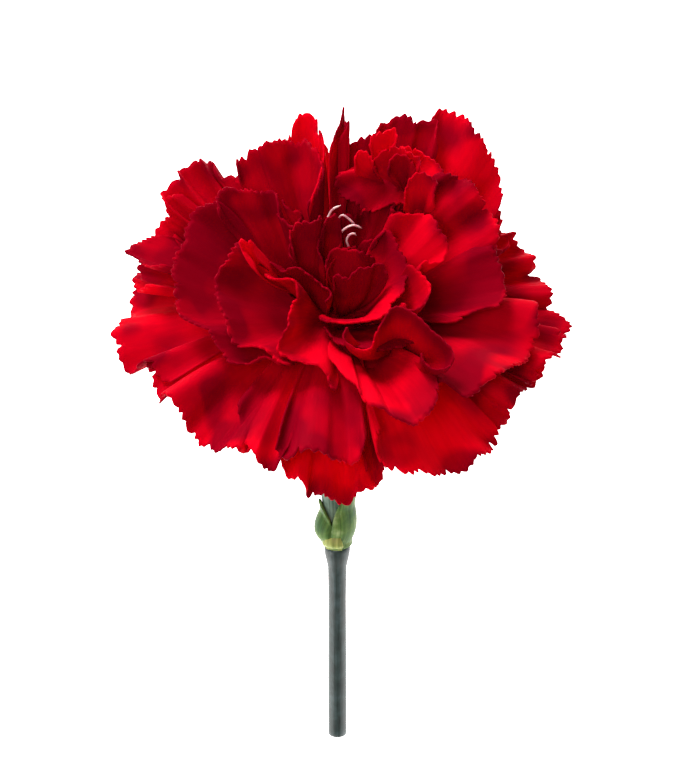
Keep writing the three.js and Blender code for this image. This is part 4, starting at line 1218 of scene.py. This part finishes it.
@dataclass(frozen=True)
class Claw:
    """The narrow foot of a petal, which runs down in the bundle inside the calyx.

    Attributes:
        rows: rows of points along it.
        foot_height: height of its foot, inside the calyx.
        foot_out: least distance of its foot from the axis.
        foot_follow: how much further out it stands for each millimetre of the heart's distance.
        foot_scatter: how far the feet scatter in and out.
        scatter_turn: radians between one petal's scatter and the next one's.
        foot_width: its width at the foot, as a share of the rim's.
        rise: length of its lower tangent, as a share of its height.
        bend: length of its upper tangent.
        far_out: a heart further than this from the axis is beside the bundle, and the claw of its
            petal ends in the bundle's top, unseen.
        far_follow: where such a claw's foot is, as a share of the heart's distance.
        far_height: height of such a foot.
        far_length: added to such a claw's length, for the colours alone.
    """

    rows: int = 9
    foot_height: float = 26.6
    foot_out: float = 1.2
    foot_follow: float = 0.5
    foot_scatter: float = 0.5
    scatter_turn: float = 2.4
    foot_width: float = 0.06
    rise: float = 0.4
    bend: float = 0.35
    far_out: float = 8.0
    far_follow: float = 0.3
    far_height: float = 47.0
    far_length: float = 20.0

    def is_far(self, heart: np.ndarray) -> bool:
        """Whether a petal opens beside the bundle."""
        return math.hypot(heart[0], heart[1]) > self.far_out

    def foot(self, heart: np.ndarray, petal_seed: int) -> np.ndarray:
        """Finds where the claw ends: low in the calyx, or in the bundle's top for a far heart.

        Args:
            heart: where the blade opens.
            petal_seed: the petal's own seed.

        Returns:
            The middle of the claw's foot.
        """
        if self.is_far(heart):
            return np.array([*(self.far_follow * heart[:2]), self.far_height])
        out = math.hypot(heart[0], heart[1])
        scatter = self.foot_scatter * math.sin(self.scatter_turn * petal_seed)
        spread = self.foot_out + self.foot_follow * out + scatter
        return np.array([*(heart[:2] / max(out, TINY) * spread), self.foot_height])

    def points(self, foot: np.ndarray, root: np.ndarray, ahead: np.ndarray) -> np.ndarray:
        """The claw's curves: cubic Beziers straight up from the foot and on into the blade.

        Args:
            foot: points of the foot, one for each column.
            root: points of the blade's root.
            ahead: the directions in which the blade starts.

        Returns:
            Points of shape (rows, columns, 3), without those of the root.
        """
        w = np.linspace(0, 1, self.rows, endpoint=False)[:, None, None]
        length = np.linalg.norm(root - foot, axis=1, keepdims=True)
        start = foot + self.rise * length * UP
        end = root - self.bend * length * ahead
        return bezier(w, foot, start, end, root)


@dataclass(frozen=True)
class Petal:
    """One petal as a sheet: its claw, its folded blade and its teeth.

    Attributes:
        plan: where it opens and where its rim runs.
        seed: of its own random numbers.
        fringe: how its edge is cut.
        relief: how its blade is folded.
        claw: its foot.
        thickness: of the sheet, in millimetres.
        column_mm: distance between columns of points along the rim.
        column_counts: the fewest and the most columns.
        blade_rows: rows of points from the root of the blade to its rim.
        row_power: below 1 brings the rows closer together towards the rim.
        smooth_rows: rows of the blade before the teeth are cut.
        root_width: width of the blade's root, as a share of its rim's.
        fan: how much its curves spread, from 0 for side by side to 1 for straight out.
        back_lean: how far the direction that its upper side faces leans to its back.
        slide_power: how close to the rim the teeth's cut keeps.
        shortest_blade: the least length by which a cut is divided, in millimetres.
        landing: height above the table in which it bends to lie along it, in millimetres.
        landing_drop: how much lower it lies then, as a share of that height.
        shaded_root_share: the tone at the root, as a share of the petal's own: painted shade deep
            in the bloom, where the roots lie.
        tone_range: the places along the blade between which the painted shade fades and the tone
            becomes the petal's own.
        pattern_step: distance in the pattern between one petal and the next, in millimetres.
    """

    plan: PetalPlan
    seed: int
    fringe: Fringe = Fringe()
    relief: Relief = Relief()
    claw: Claw = Claw()
    thickness: float = 0.32
    column_mm: float = 0.25
    column_counts: tuple[int, int] = (33, 280)
    blade_rows: int = 30
    row_power: float = 0.85
    smooth_rows: int = 64
    root_width: float = 0.12
    fan: float = 0.6
    back_lean: float = 0.3
    slide_power: float = 5.0
    shortest_blade: float = 4.0
    landing: float = 0.5
    landing_drop: float = 0.1
    shaded_root_share: float = 0.25
    tone_range: tuple[float, float] = (0.15, 0.7)
    pattern_step: float = 100.0

    def heart_point(self, middle: np.ndarray) -> np.ndarray:
        """Finds the heart: as given, or out from the axis towards the middle of the rim.

        Args:
            middle: the middle of the rim.

        Returns:
            Its place in the flower frame.
        """
        if len(self.plan.heart) == 3:
            return np.array(self.plan.heart, float)
        out, height = self.plan.heart
        return out * unit(middle * LEVEL) + height * UP

    def sheet(self) -> tuple[np.ndarray, np.ndarray]:
        """Works out the sheet's points: the claw's rows and then the blade's.

        Returns:
            Points of shape (rows, columns, 3) in the flower frame and a (u, v) pair for each, in
            metres.
        """
        _, length = curve_through(self.plan.rim, 2)       # for its length alone
        columns = int(np.clip(length / self.column_mm, *self.column_counts))
        rim, _ = curve_through(self.plan.rim, columns)
        middle = rim.mean(0)
        heart = self.heart_point(middle)
        root = heart + self.root_width * (rim - middle)
        blade, ahead = self.blade(rim, root, heart, length)
        foot = self.claw.foot(heart, self.seed) + self.claw.foot_width * (rim - middle)
        sheet = np.concatenate([self.claw.points(foot, root, ahead), blade])

        step = np.linalg.norm(np.diff(sheet, axis=0), axis=2).mean(1)
        run = np.concatenate([[0], np.cumsum(step)])
        if self.claw.is_far(heart):
            run = run + self.claw.far_length
        across = np.linspace(-length / 2, length / 2, columns) + self.pattern_step * self.seed
        return sheet, np.stack(np.meshgrid(across, run), -1) * MM

    def blade(self, rim: np.ndarray, root: np.ndarray, heart: np.ndarray,
              length: float) -> tuple[np.ndarray, np.ndarray]:
        """Works out the blade.

        It is one cubic Bezier curve for each place v along the rim, from a short root line at the
        heart to the rim, which starts and ends at the plan's lean. The relief raises it. The
        teeth cut it short: each point slides back along its curve, at s from the root by the
        depth of the cut times s to the slide_power.

        Args:
            rim: points of the uncut rim.
            root: points of the root line, one for each of the rim's.
            heart: the middle of the root line.
            length: of the rim, in millimetres.

        Returns:
            Points of shape (rows, columns, 3), and the directions in which the curves start.
        """
        v = np.linspace(-1, 1, len(rim))
        forward = unit((rim.mean(0) - heart) * LEVEL)
        outward = unit(self.fan * unit((rim - heart) * LEVEL) + (1 - self.fan) * forward)
        way = np.linalg.norm(rim - root, axis=1, keepdims=True)
        start = root + self.plan.reach * way * self.leaning(outward, self.plan.lean[0])
        end = rim - self.plan.reach * way * self.leaning(outward, self.plan.lean[1])
        s = np.linspace(0, 1, self.smooth_rows)[:, None]
        smooth = bezier(s[..., None], root, start, end, rim)

        facing = unit(np.cross(np.gradient(smooth, axis=0), np.gradient(smooth, axis=1)))
        if (facing @ (UP - self.back_lean * forward)).sum() < 0:
            facing = -facing
        height = self.relief.height(s, v[None, :], self.plan, self.seed)
        waved = smooth + facing * height[..., None]

        depth = self.fringe.cut(v, length, self.seed) * self.plan.teeth
        cut = depth / np.maximum(way[:, 0], self.shortest_blade)
        t = np.linspace(0, 1, self.blade_rows)[:, None] ** self.row_power
        blade = self.along(waved, t - cut * t ** self.slide_power)
        return blade, unit(blade[1] - blade[0])

    @staticmethod
    def leaning(outward: np.ndarray, degrees: float) -> np.ndarray:
        """Unit vectors that lean from the axis by an angle, in the directions outward."""
        angle = math.radians(degrees)
        return math.sin(angle) * outward + math.cos(angle) * UP

    @staticmethod
    def along(grid: np.ndarray, places: np.ndarray) -> np.ndarray:
        """Points down the columns of a grid, by straight lines between its rows.

        Args:
            grid: points of shape (rows, columns, 3).
            places: shares of the way down, of shape (wanted rows, columns).

        Returns:
            Points of shape (wanted rows, columns, 3).
        """
        rows, columns = grid.shape[:2]
        row = np.clip(places, 0, 1) * (rows - 1)
        low = np.clip(row.astype(int), 0, rows - 2)
        share = (row - low)[..., None]
        column = np.arange(columns)
        return grid[low, column] * (1 - share) + grid[low + 1, column] * share

    def build(self, pose: LyingPose, material: bpy.types.Material) -> bpy.types.Object:
        """Makes the petal.

        Args:
            pose: where the flower lies.
            material: its finish.

        Returns:
            The piece.
        """
        sheet, uv = self.sheet()
        rows, columns = sheet.shape[:2]
        placed = self.laid_down(pose.place(sheet))
        faces = grid_faces(rows, columns)
        piece = new_piece(f"petal_{self.plan.name}", placed, faces, uv, material)
        write_uv(piece.data, "tone", np.repeat(self.tones(rows), columns, axis=0))
        give_thickness(piece, self.thickness, offset=0.0)
        return piece

    def laid_down(self, points: np.ndarray) -> np.ndarray:
        """Lifts what would pass through the table to lie along it.

        A height h over the table becomes half of h + √(h² + landing²), less the landing drop,
        which is nearly h where h is large and nearly nothing where it is negative.

        Args:
            points: in the row frame, in metres.

        Returns:
            The points, clear of the table by half the sheet's thickness.
        """
        table = self.thickness / 2 * MM
        soft = self.landing * MM
        over = points[..., 2] - table
        lifted = (over + np.sqrt(over ** 2 + soft ** 2) - self.landing_drop * soft) / 2
        laid = points.copy()
        laid[..., 2] = table + np.maximum(lifted, 0)
        return laid

    def tones(self, rows: int) -> np.ndarray:
        """The tone of each row: darkened with painted shade at the root, deep in the bloom, and the
        petal's own from mid-blade on.

        Args:
            rows: how many rows the sheet has.

        Returns:
            For each row its tone, and its place along the blade from 0 to 1.
        """
        s = np.clip((np.arange(rows) - self.claw.rows) / self.blade_rows, 0, 1)
        # Painted shade at the root, deep in the bloom, fading out along the blade.
        share = self.shaded_root_share + (1 - self.shaded_root_share) * smooth_step(s, *self.tone_range)
        return np.stack([self.plan.tone * share, s], -1)


@dataclass(frozen=True)
class Bloom:
    """All petals and the bundle of claws inside them.

    Attributes:
        core_profile: (radius, height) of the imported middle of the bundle.
        sides: of the core.
        rows: of the core.
        girth: round the core in the pattern, in millimetres.
        skin: the finish of all of it.
    """

    core_profile: tuple[tuple[float, float], ...] = (
        (3.4, 26.4), (4.0, 31.0), (4.3, 38.0), (4.0, 43.0), (3.0, 46.0), (1.5, 47.5), (0.6, 47.8),
    )
    sides: int = 24
    rows: int = 30
    girth: float = 25.0
    skin: PetalFinish = PetalFinish()

    def build(self, pose: LyingPose) -> list[bpy.types.Object]:
        """Makes the petals and the core of the bundle. A petal's seed is its place in the list.

        Args:
            pose: where the flower lies.

        Returns:
            The pieces.
        """
        material = self.skin.build()
        plans = [*PETALS, *(plan for ring in BACK_RINGS for plan in ring.plans())]
        petals = [Petal(plan, seed).build(pose, material) for seed, plan in enumerate(plans)]
        return [*petals, self.core(pose, material)]

    def core(self, pose: LyingPose, material: bpy.types.Material) -> bpy.types.Object:
        """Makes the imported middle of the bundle: a slim spindle revolved about the axis.

        Args:
            pose: where the flower lies.
            material: its finish.

        Returns:
            The piece.
        """
        radii, heights = np.array(self.core_profile).T
        height = np.linspace(heights[0], heights[-1], self.rows)
        rings = revolved(np.interp(height, heights, radii), height, self.sides)
        v = (height - heights[0])[:, None]
        return closed_tube("claw_bundle", rings, self.girth * round_turn(self.sides), v, pose,
                           material)


# Green parts and styles.


@dataclass(frozen=True)
class Stem:
    """The cut stem, swollen where it meets the flower.

    Attributes:
        length: from the cut to the flower.
        cut_radius: from the cut up to the taper.
        taper: the heights between which it narrows to its waist.
        waist_radius: its least radius.
        node_foot: the height at which it starts to swell, under the flower.
        node_foot_radius: its radius there.
        swelling: the heights between which it swells.
        top_radius: its radius at the flower.
        packed_top_radius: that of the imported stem, from whose box the pose is found.
        cut_bevel: how much the edge of the cut is rounded.
        top_bevel: how much the upper edge is rounded.
        sides: how many points a ring has.
        rows: of points along it.
        skin: its finish.
    """

    length: float = 39.9
    cut_radius: float = 1.65
    taper: tuple[float, float] = (-24.0, -11.0)
    waist_radius: float = 1.57
    node_foot: float = -5.0
    node_foot_radius: float = 1.67
    swelling: tuple[float, float] = (-5.2, -0.9)
    top_radius: float = 2.3
    packed_top_radius: float = 2.2
    cut_bevel: float = 0.12
    top_bevel: float = 0.25
    sides: int = 32
    rows: int = 90
    skin: SkinFinish = SkinFinish(
        "waxy carnation stem skin", base="#313d3b", wax="#3f4e4d", dark="#2a3432",
        rib_spacing_mm=0.45, rib_height_mm=0.05, roughness=0.4, patch_mm=2.2, gloss=0.4)

    def radius(self, height: np.ndarray) -> np.ndarray:
        """The stem's radius: straight lines between its knots, and an S-curve over the swelling.

        Args:
            height: above the flower frame's origin, so from -length to 0.

        Returns:
            The radius at each height.
        """
        plain = np.interp(height, [*self.taper, self.node_foot],
                          [self.cut_radius, self.waist_radius, self.node_foot_radius])
        swell = self.top_radius - self.node_foot_radius
        return plain + swell * smooth_step(height, *self.swelling)

    def build(self, pose: LyingPose) -> bpy.types.Object:
        """Makes the stem, with the edges of its ends slightly rounded.

        Args:
            pose: where the flower lies.

        Returns:
            The piece.
        """
        height = np.linspace(-self.length, 0, self.rows)
        radius = self.radius(height)
        radius[0] -= self.cut_bevel
        radius[-1] -= self.top_bevel
        height[1] = height[0] + self.cut_bevel
        rings = revolved(radius, height, self.sides)
        # The pattern runs the same both ways round, so it meets itself at the seam.
        u = np.abs(round_turn(self.sides) - 0.5) * 2 * math.pi * self.cut_radius
        v = (height + self.length)[:, None]
        return closed_tube("stem_skin", rings, u, v, pose, self.skin.build())


@dataclass(frozen=True)
class Calyx:
    """The tube that holds the claws, with five teeth at its mouth.

    Attributes:
        profile: (radius, height) of its outside, from its foot to the foot of its teeth.
        outer_rows: rows of points up its outside.
        smoothing: how many rows each one is averaged over, which rounds the profile.
        teeth: how many there are.
        tooth: height of a tooth.
        tooth_power: above 1 makes the teeth bulge beside their tips.
        tooth_rows: rows of points up a tooth, outside and inside.
        tooth_foot: the share of a tooth's height where its first row is.
        tuck: how far a tooth's tip leans in, and how much lower its inside is than its outside.
        mouth_thickness: of the wall at the mouth.
        floor: height at which the tube is closed inside, under the claws.
        inner_rows: rows of points down the inside.
        ribs: how many ribs it has.
        rib_depth: their height, as a share of the radius.
        sides: how many points a ring has.
        girth: round the tube in the pattern, in millimetres.
        skin: its finish.
    """

    profile: tuple[tuple[float, float], ...] = (
        (2.1, 1.4), (2.35, 2.4), (2.5, 8.0), (3.4, 15.0), (4.8, 21.0), (5.75, 25.0), (6.0, 28.0),
    )
    outer_rows: int = 46
    smoothing: int = 7
    teeth: int = 5
    tooth: float = 3.4
    tooth_power: float = 1.2
    tooth_rows: int = 6
    tooth_foot: float = 0.15
    tuck: float = 0.1
    mouth_thickness: float = 0.7
    floor: float = 26.0
    inner_rows: int = 4
    ribs: int = 30
    rib_depth: float = 0.01
    sides: int = 120
    girth: float = 25.0
    skin: SkinFinish = SkinFinish(
        "carnation calyx skin", base="#5c7060", wax="#7a8c76", dark="#44594c",
        rib_spacing_mm=0.55, rib_height_mm=0.1, roughness=0.5)

    def radius(self, height: np.ndarray) -> np.ndarray:
        """Outer radius of the tube at each height."""
        radii, heights = np.array(self.profile).T
        return np.interp(height, heights, radii)

    def band(self, radius: np.ndarray | float, height: np.ndarray) -> np.ndarray:
        """Rows of (radius, height) pairs, each spread round the tube."""
        shape = (len(height), self.sides)
        return np.stack([np.broadcast_to(radius, shape), np.broadcast_to(height, shape)], -1)

    def build(self, pose: LyingPose) -> bpy.types.Object:
        """Makes the tube: up its outside, over the pointed teeth and down to the floor inside.

        A tooth's height falls from its tip as 1 - x^tooth_power, where x goes from 0 to 1 over
        half a tooth. The ribs are a cosine round the tube.

        Args:
            pose: where the flower lies.

        Returns:
            The piece.
        """
        turn = round_turn(self.sides)
        beside_tip = np.abs(((turn * self.teeth) % 1) * 2 - 1)
        tip = self.tooth * (1 - beside_tip ** self.tooth_power)
        ribs = 1 + self.rib_depth * np.cos(2 * math.pi * self.ribs * turn)
        (_, low), (mouth, lip) = self.profile[0], self.profile[-1]
        inner = mouth - self.mouth_thickness

        height = np.linspace(low, lip, self.outer_rows)[:, None]
        padded = np.pad(self.radius(height[:, 0]), self.smoothing // 2, mode="edge")
        smooth = np.convolve(padded, np.ones(self.smoothing) / self.smoothing, "valid")
        up = np.linspace(self.tooth_foot, 1, self.tooth_rows)[:, None]
        down = np.linspace(lip, self.floor, self.inner_rows)[:, None]
        rows = np.vstack([
            self.band(smooth[:, None] * ribs, height),
            self.band(mouth - self.tuck * up, lip + up * tip),
            self.band(inner, lip + up[::-1] * tip - self.tuck),
            self.band(inner, down),
        ])
        rings = revolved(rows[..., 0], rows[..., 1], self.sides)
        # The pattern runs the same both ways round, so it meets itself at the seam.
        u = np.abs(turn - 0.5) * self.girth
        return closed_tube("calyx_tube", rings, u, rings[..., 2], pose, self.skin.build())


@dataclass(frozen=True)
class Scale:
    """One pointed scale that hugs the calyx, bellied near its foot.

    Attributes:
        name: of the scale.
        turn: its direction, in degrees from +X towards +Y.
        height: of its tip above its foot.
        spread: half its width, in degrees round the axis.
        belly: its largest radius.
        fullness: how far up it stays broad.
        hug: how much its sides lie closer to the calyx than its middle does, from 0 to 1.
        foot: height of its foot.
        foot_radius: its radius at the foot.
        thickness: in millimetres.
        belly_at: where the belly is, as a share of the height.
        belly_power: above 1 makes it slimmer above the belly.
        gap: between it and the calyx.
        edge_lift: how far its edges stand out.
        tip_half: half its width at the tip, in radians round the axis.
        rows: of points from foot to tip.
        columns: of points across.
    """

    name: str
    turn: float
    height: float
    spread: float
    belly: float
    fullness: float
    hug: float
    foot: float = 0.35
    foot_radius: float = 2.3
    thickness: float = 0.5
    belly_at: float = 0.36
    belly_power: float = 1.2
    gap: float = 0.12
    edge_lift: float = 0.12
    tip_half: float = 0.02
    rows: int = 40
    columns: int = 25

    def build(self, calyx: Calyx, pose: LyingPose,
              material: bpy.types.Material) -> bpy.types.Object:
        """Makes the scale: a grid in height t and angle v.

        It narrows to its tip as 1 - t^fullness. Its radius swells as a quarter of a sine up to
        the belly and sinks as a quarter of a cosine above it, but never into the calyx.

        Args:
            calyx: the tube that it hugs.
            pose: where the flower lies.
            material: its finish.

        Returns:
            The piece.
        """
        t = np.linspace(0, 1, self.rows)[:, None]
        v = np.linspace(-1, 1, self.columns)
        height = np.broadcast_to(self.foot + t * self.height, (self.rows, self.columns))
        below = np.sin(math.pi / 2 * t / self.belly_at)
        above = np.cos(math.pi / 2 * np.clip((t - self.belly_at) / (1 - self.belly_at), 0, 1))
        swell = np.where(t < self.belly_at, below, above ** self.belly_power)
        swell = swell * (1 - self.hug * v ** 2)
        free = self.foot_radius + (self.belly - self.foot_radius) * swell
        close = calyx.radius(height) + self.gap + self.thickness
        radius = np.maximum(close, free) + self.edge_lift * np.abs(v) ** 3
        half = math.radians(self.spread) * (1 - t ** self.fullness) + self.tip_half
        angle = math.radians(self.turn) + v * half
        sheet = np.stack([radius * np.cos(angle), radius * np.sin(angle), height], -1)
        uv = np.stack([v * half * radius, height], -1) * MM
        faces = grid_faces(self.rows, self.columns)
        piece = new_piece(self.name, pose.place(sheet), faces, uv, material)
        give_thickness(piece, self.thickness, offset=-1.0)
        return piece


@dataclass(frozen=True)
class ScaleWhorl:
    """The scales round the foot of the calyx and the disc that they stand on.

    Attributes:
        scales: the green scales.
        front: the small pale one in front.
        disc: (radius, height) of the disc.
        disc_sides: how many points a ring of the disc has.
        green: the finish of the green scales and the disc.
        pale: the finish of the front one.
    """

    scales: tuple[Scale, ...] = (
        Scale("scale_left", turn=194, height=8.9, spread=76, belly=4.1, fullness=2.4, hug=0.6),
        Scale("scale_right", turn=336, height=12.2, spread=82, belly=3.5, fullness=4.0, hug=0.0),
        Scale("scale_back", turn=90, height=9.6, spread=62, belly=3.45, fullness=2.4, hug=0.0),
    )
    front: Scale = Scale("scale_front", turn=257, height=4.5, spread=30, belly=3.9, fullness=3.0,
                         hug=0.2, foot=0.2)
    disc: tuple[tuple[float, float], ...] = (
        (0.4, 0.2), (1.6, 0.2), (2.3, 0.25), (2.5, 0.5), (2.45, 0.9), (2.2, 1.2), (0.5, 1.25),
    )
    disc_sides: int = 32
    green: SkinFinish = SkinFinish(
        "carnation scale leaf", base="#5c7a3c", wax="#94a870", dark="#3e6132",
        rib_spacing_mm=0.5, rib_height_mm=0.08, roughness=0.42)
    pale: SkinFinish = SkinFinish(
        "pale carnation scale leaf", base="#98a256", wax="#acb46e", dark="#7d8c48",
        rib_spacing_mm=0.5, rib_height_mm=0.08, roughness=0.42)

    def build(self, calyx: Calyx, pose: LyingPose) -> list[bpy.types.Object]:
        """Makes the scales and their disc.

        Args:
            calyx: the tube that they hug.
            pose: where the flower lies.

        Returns:
            The pieces.
        """
        green = self.green.build()
        return [
            *(scale.build(calyx, pose, green) for scale in self.scales),
            self.front.build(calyx, pose, self.pale.build()),
            turned_piece("scale_disc", self.disc, self.disc_sides, pose, green),
        ]


@dataclass(frozen=True)
class Styles:
    """Pale curled threads in the heart of the bloom.

    Attributes:
        radius: of a thread.
        root_share: its radius at its root, as a share of that.
        taper: the share that it loses towards its tip.
        tip_share: the share of its length over which the tip is rounded.
        tip_least: the square of the share of the radius that is left at the very tip.
        rows: of points along a thread.
        sides: how many points a ring of a thread has.
        girth: round a thread in the pattern, in millimetres.
        paths: points along each thread, from its root.
        stub: (radius, height) of the stub that they grow from.
        stub_sides: how many points a ring of the stub has.
        tissue: the finish of all of it.
    """

    radius: float = 0.23
    root_share: float = 1.05
    taper: float = 0.3
    tip_share: float = 0.04
    tip_least: float = 0.02
    rows: int = 60
    sides: int = 12
    girth: float = 2.0
    paths: tuple[tuple[tuple[float, float, float], ...], ...] = (
        ((0.6, 0.6, 46.4), (-1.2, 1.8, 59.6), (-1.8, 2.6, 62.2), (-1.4, 3, 64), (-0.6, 3, 65.3),
         (0.7, 3, 66)),
        ((0.7, 0.5, 46.4), (0.2, 2.2, 60.4), (0.1, 2.6, 63), (0.9, 2.6, 64.3), (2.4, 2.5, 63.3),
         (3.4, 2.5, 62)),
        ((0.5, 0.2, 46.4), (0.2, 0.9, 59.4), (0.7, 1, 61.7), (1.9, 1, 62.9), (3.1, 1, 63.2),
         (4.3, 1, 62.6)),
        ((0.7, 0, 46.4), (2.1, 0, 59.1), (1.7, 0, 60.8), (2.2, 0, 61.9), (2.9, 0.1, 62.1),
         (3.4, 0.2, 61.6)),
    )
    stub: tuple[tuple[float, float], ...] = (
        (0.3, 44.9), (0.9, 45.0), (1.0, 46.0), (0.8, 46.8), (0.4, 47.1),
    )
    stub_sides: int = 20
    tissue: StyleFinish = StyleFinish()

    def build(self, pose: LyingPose) -> list[bpy.types.Object]:
        """Makes the threads, each tapered to a rounded tip, and the stub that they grow from.

        Args:
            pose: where the flower lies.

        Returns:
            The pieces.
        """
        material = self.tissue.build()
        t = np.linspace(0, 1, self.rows)
        tip = np.sqrt(np.clip((1 - t) / self.tip_share, self.tip_least, 1))
        radius = self.radius * (self.root_share - self.taper * t) * tip
        u = np.linspace(0, self.girth, self.sides)
        pieces = []
        for number, points in enumerate(self.paths, start=1):
            path, length = curve_through(points, self.rows)
            rings = rings_along(path, radius, self.sides)
            v = (t * length)[:, None]
            pieces.append(closed_tube(f"style_{number}", rings, u, v, pose, material))
        pieces.append(turned_piece("style_stub", self.stub, self.stub_sides, pose, material))
        return pieces


# The studio.


@dataclass(frozen=True)
class SoftLight:
    """A square area light that faces the middle of the bloom.

    Attributes:
        name: of the light.
        place: how far right of the bloom's middle, above it and towards the camera it stands, as
            the photograph shows them, in metres.
        side: of the square, in metres.
        power: in watts.
    """

    name: str
    place: tuple[float, float, float]
    side: float
    power: float

    def build(self, axes: np.ndarray, aim: np.ndarray) -> None:
        """Adds the light.

        Args:
            axes: the photograph's directions right, up and towards the camera, as rows.
            aim: the point that it faces, in the row frame, in metres.
        """
        data = bpy.data.lights.new(self.name, "AREA")
        data.size = self.side
        data.energy = self.power
        light = bpy.data.objects.new(self.name, data)
        bpy.context.scene.collection.objects.link(light)
        away = np.array(self.place) @ axes
        light.location = aim + away
        light.rotation_euler = Vector(away).to_track_quat("Z", "Y").to_euler()


@dataclass(frozen=True)
class Studio:
    """A pale table, soft lights placed about the camera's view, and the camera.

    Attributes:
        world_strength: of the white surroundings' light.
        bloom_middle: what the lights face, in the flower frame.
        lights: the lights.
        table_half: half the table's side, in metres, wide enough for every view.
        table_points: points along its side.
        table_finish: the finish of the table.
    """

    world_strength: float = 0.23
    bloom_middle: tuple[float, float, float] = (0.0, 0.0, 50.0)
    lights: tuple[SoftLight, ...] = (
        SoftLight("key", (-0.3, 0.72, 0.28), side=0.35, power=10.2),
        SoftLight("front", (-0.2, 0.0, 0.8), side=0.3, power=3.1),
        SoftLight("low_left", (-0.35, -0.3, 0.1), side=0.2, power=1.2),
        SoftLight("low_right", (0.35, -0.3, 0.0), side=0.3, power=0.8),
    )
    table_half: float = 6.0
    table_points: int = 13
    table_finish: TableFinish = TableFinish()

    def build(self, pose: LyingPose) -> None:
        """Makes the table, the lights, their surroundings and the camera.

        Args:
            pose: where the flower lies.
        """
        rise, level = math.sin(VIEW_ELEVATION), math.cos(VIEW_ELEVATION)
        axes = pose.turn(np.array([[1, 0, 0], [0, rise, level], [0, -level, rise]]))
        for light in self.lights:
            light.build(axes, pose.place(np.array(self.bloom_middle)))
        self.camera(axes, pose.place(np.array(VIEW_CENTRE)))
        self.table()
        world = bpy.data.worlds.new("studio")
        world.use_nodes = True
        sky = world.node_tree.nodes["Background"]
        sky.inputs["Color"].default_value = to_linear(WHITE)
        sky.inputs["Strength"].default_value = self.world_strength
        bpy.context.scene.world = world
        bpy.context.scene.view_settings.view_transform = "Standard"

    @staticmethod
    def camera(axes: np.ndarray, aim: np.ndarray) -> None:
        """Adds the camera. Its lens makes the picture's height PHOTO_HEIGHT pixels of the flower.

        Args:
            axes: the photograph's directions right, up and towards the camera, as rows.
            aim: the point in the middle of the view, in the row frame, in metres.
        """
        data = bpy.data.cameras.new("camera")
        data.sensor_fit = "AUTO"
        data.sensor_width = SENSOR
        data.lens = SENSOR * VIEW_DISTANCE / (PHOTO_HEIGHT * MM_PER_PIXEL * MM)
        camera = bpy.data.objects.new("camera", data)
        bpy.context.scene.collection.objects.link(camera)
        place = Matrix.Translation(Vector(aim + VIEW_DISTANCE * axes[2]))
        camera.matrix_world = place @ Matrix(axes.T.tolist()).to_4x4()
        bpy.context.scene.camera = camera

    def table(self) -> None:
        """Adds the table top, a flat grid."""
        edge = np.linspace(-self.table_half, self.table_half, self.table_points)
        x, y = np.meshgrid(edge, edge)
        top = np.stack([x, y, np.zeros_like(x)], -1)
        faces = grid_faces(self.table_points, self.table_points)
        table = new_piece("table_top", top, faces, top[..., :2], self.table_finish.build())


def main() -> None:
    """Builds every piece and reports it."""
    logging.basicConfig(level=logging.INFO, format="%(name)s: %(message)s")
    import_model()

    stem = Stem()
    calyx = Calyx()
    pose = LyingPose.of_stem(stem, *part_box("stem"))
    groups = [
        ("bloom", Slot.PETAL, Bloom().build(pose)),
        ("calyx", Slot.CALYX, [calyx.build(pose)]),
        ("scales", Slot.SCALE, ScaleWhorl().build(calyx, pose)),
        ("stem", Slot.STEM, [stem.build(pose)]),
        ("styles", Slot.STYLE, Styles().build(pose)),
    ]
    for node, slot, pieces in groups:
        for piece in pieces:
            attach(piece, BODY)
            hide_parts(node)
            LOG.info("%s stands for %s: %d points", piece.name, node, len(piece.data.vertices))
    Studio().build(pose)

    bpy.context.view_layer.update()


if __name__ == "__main__":
    main()
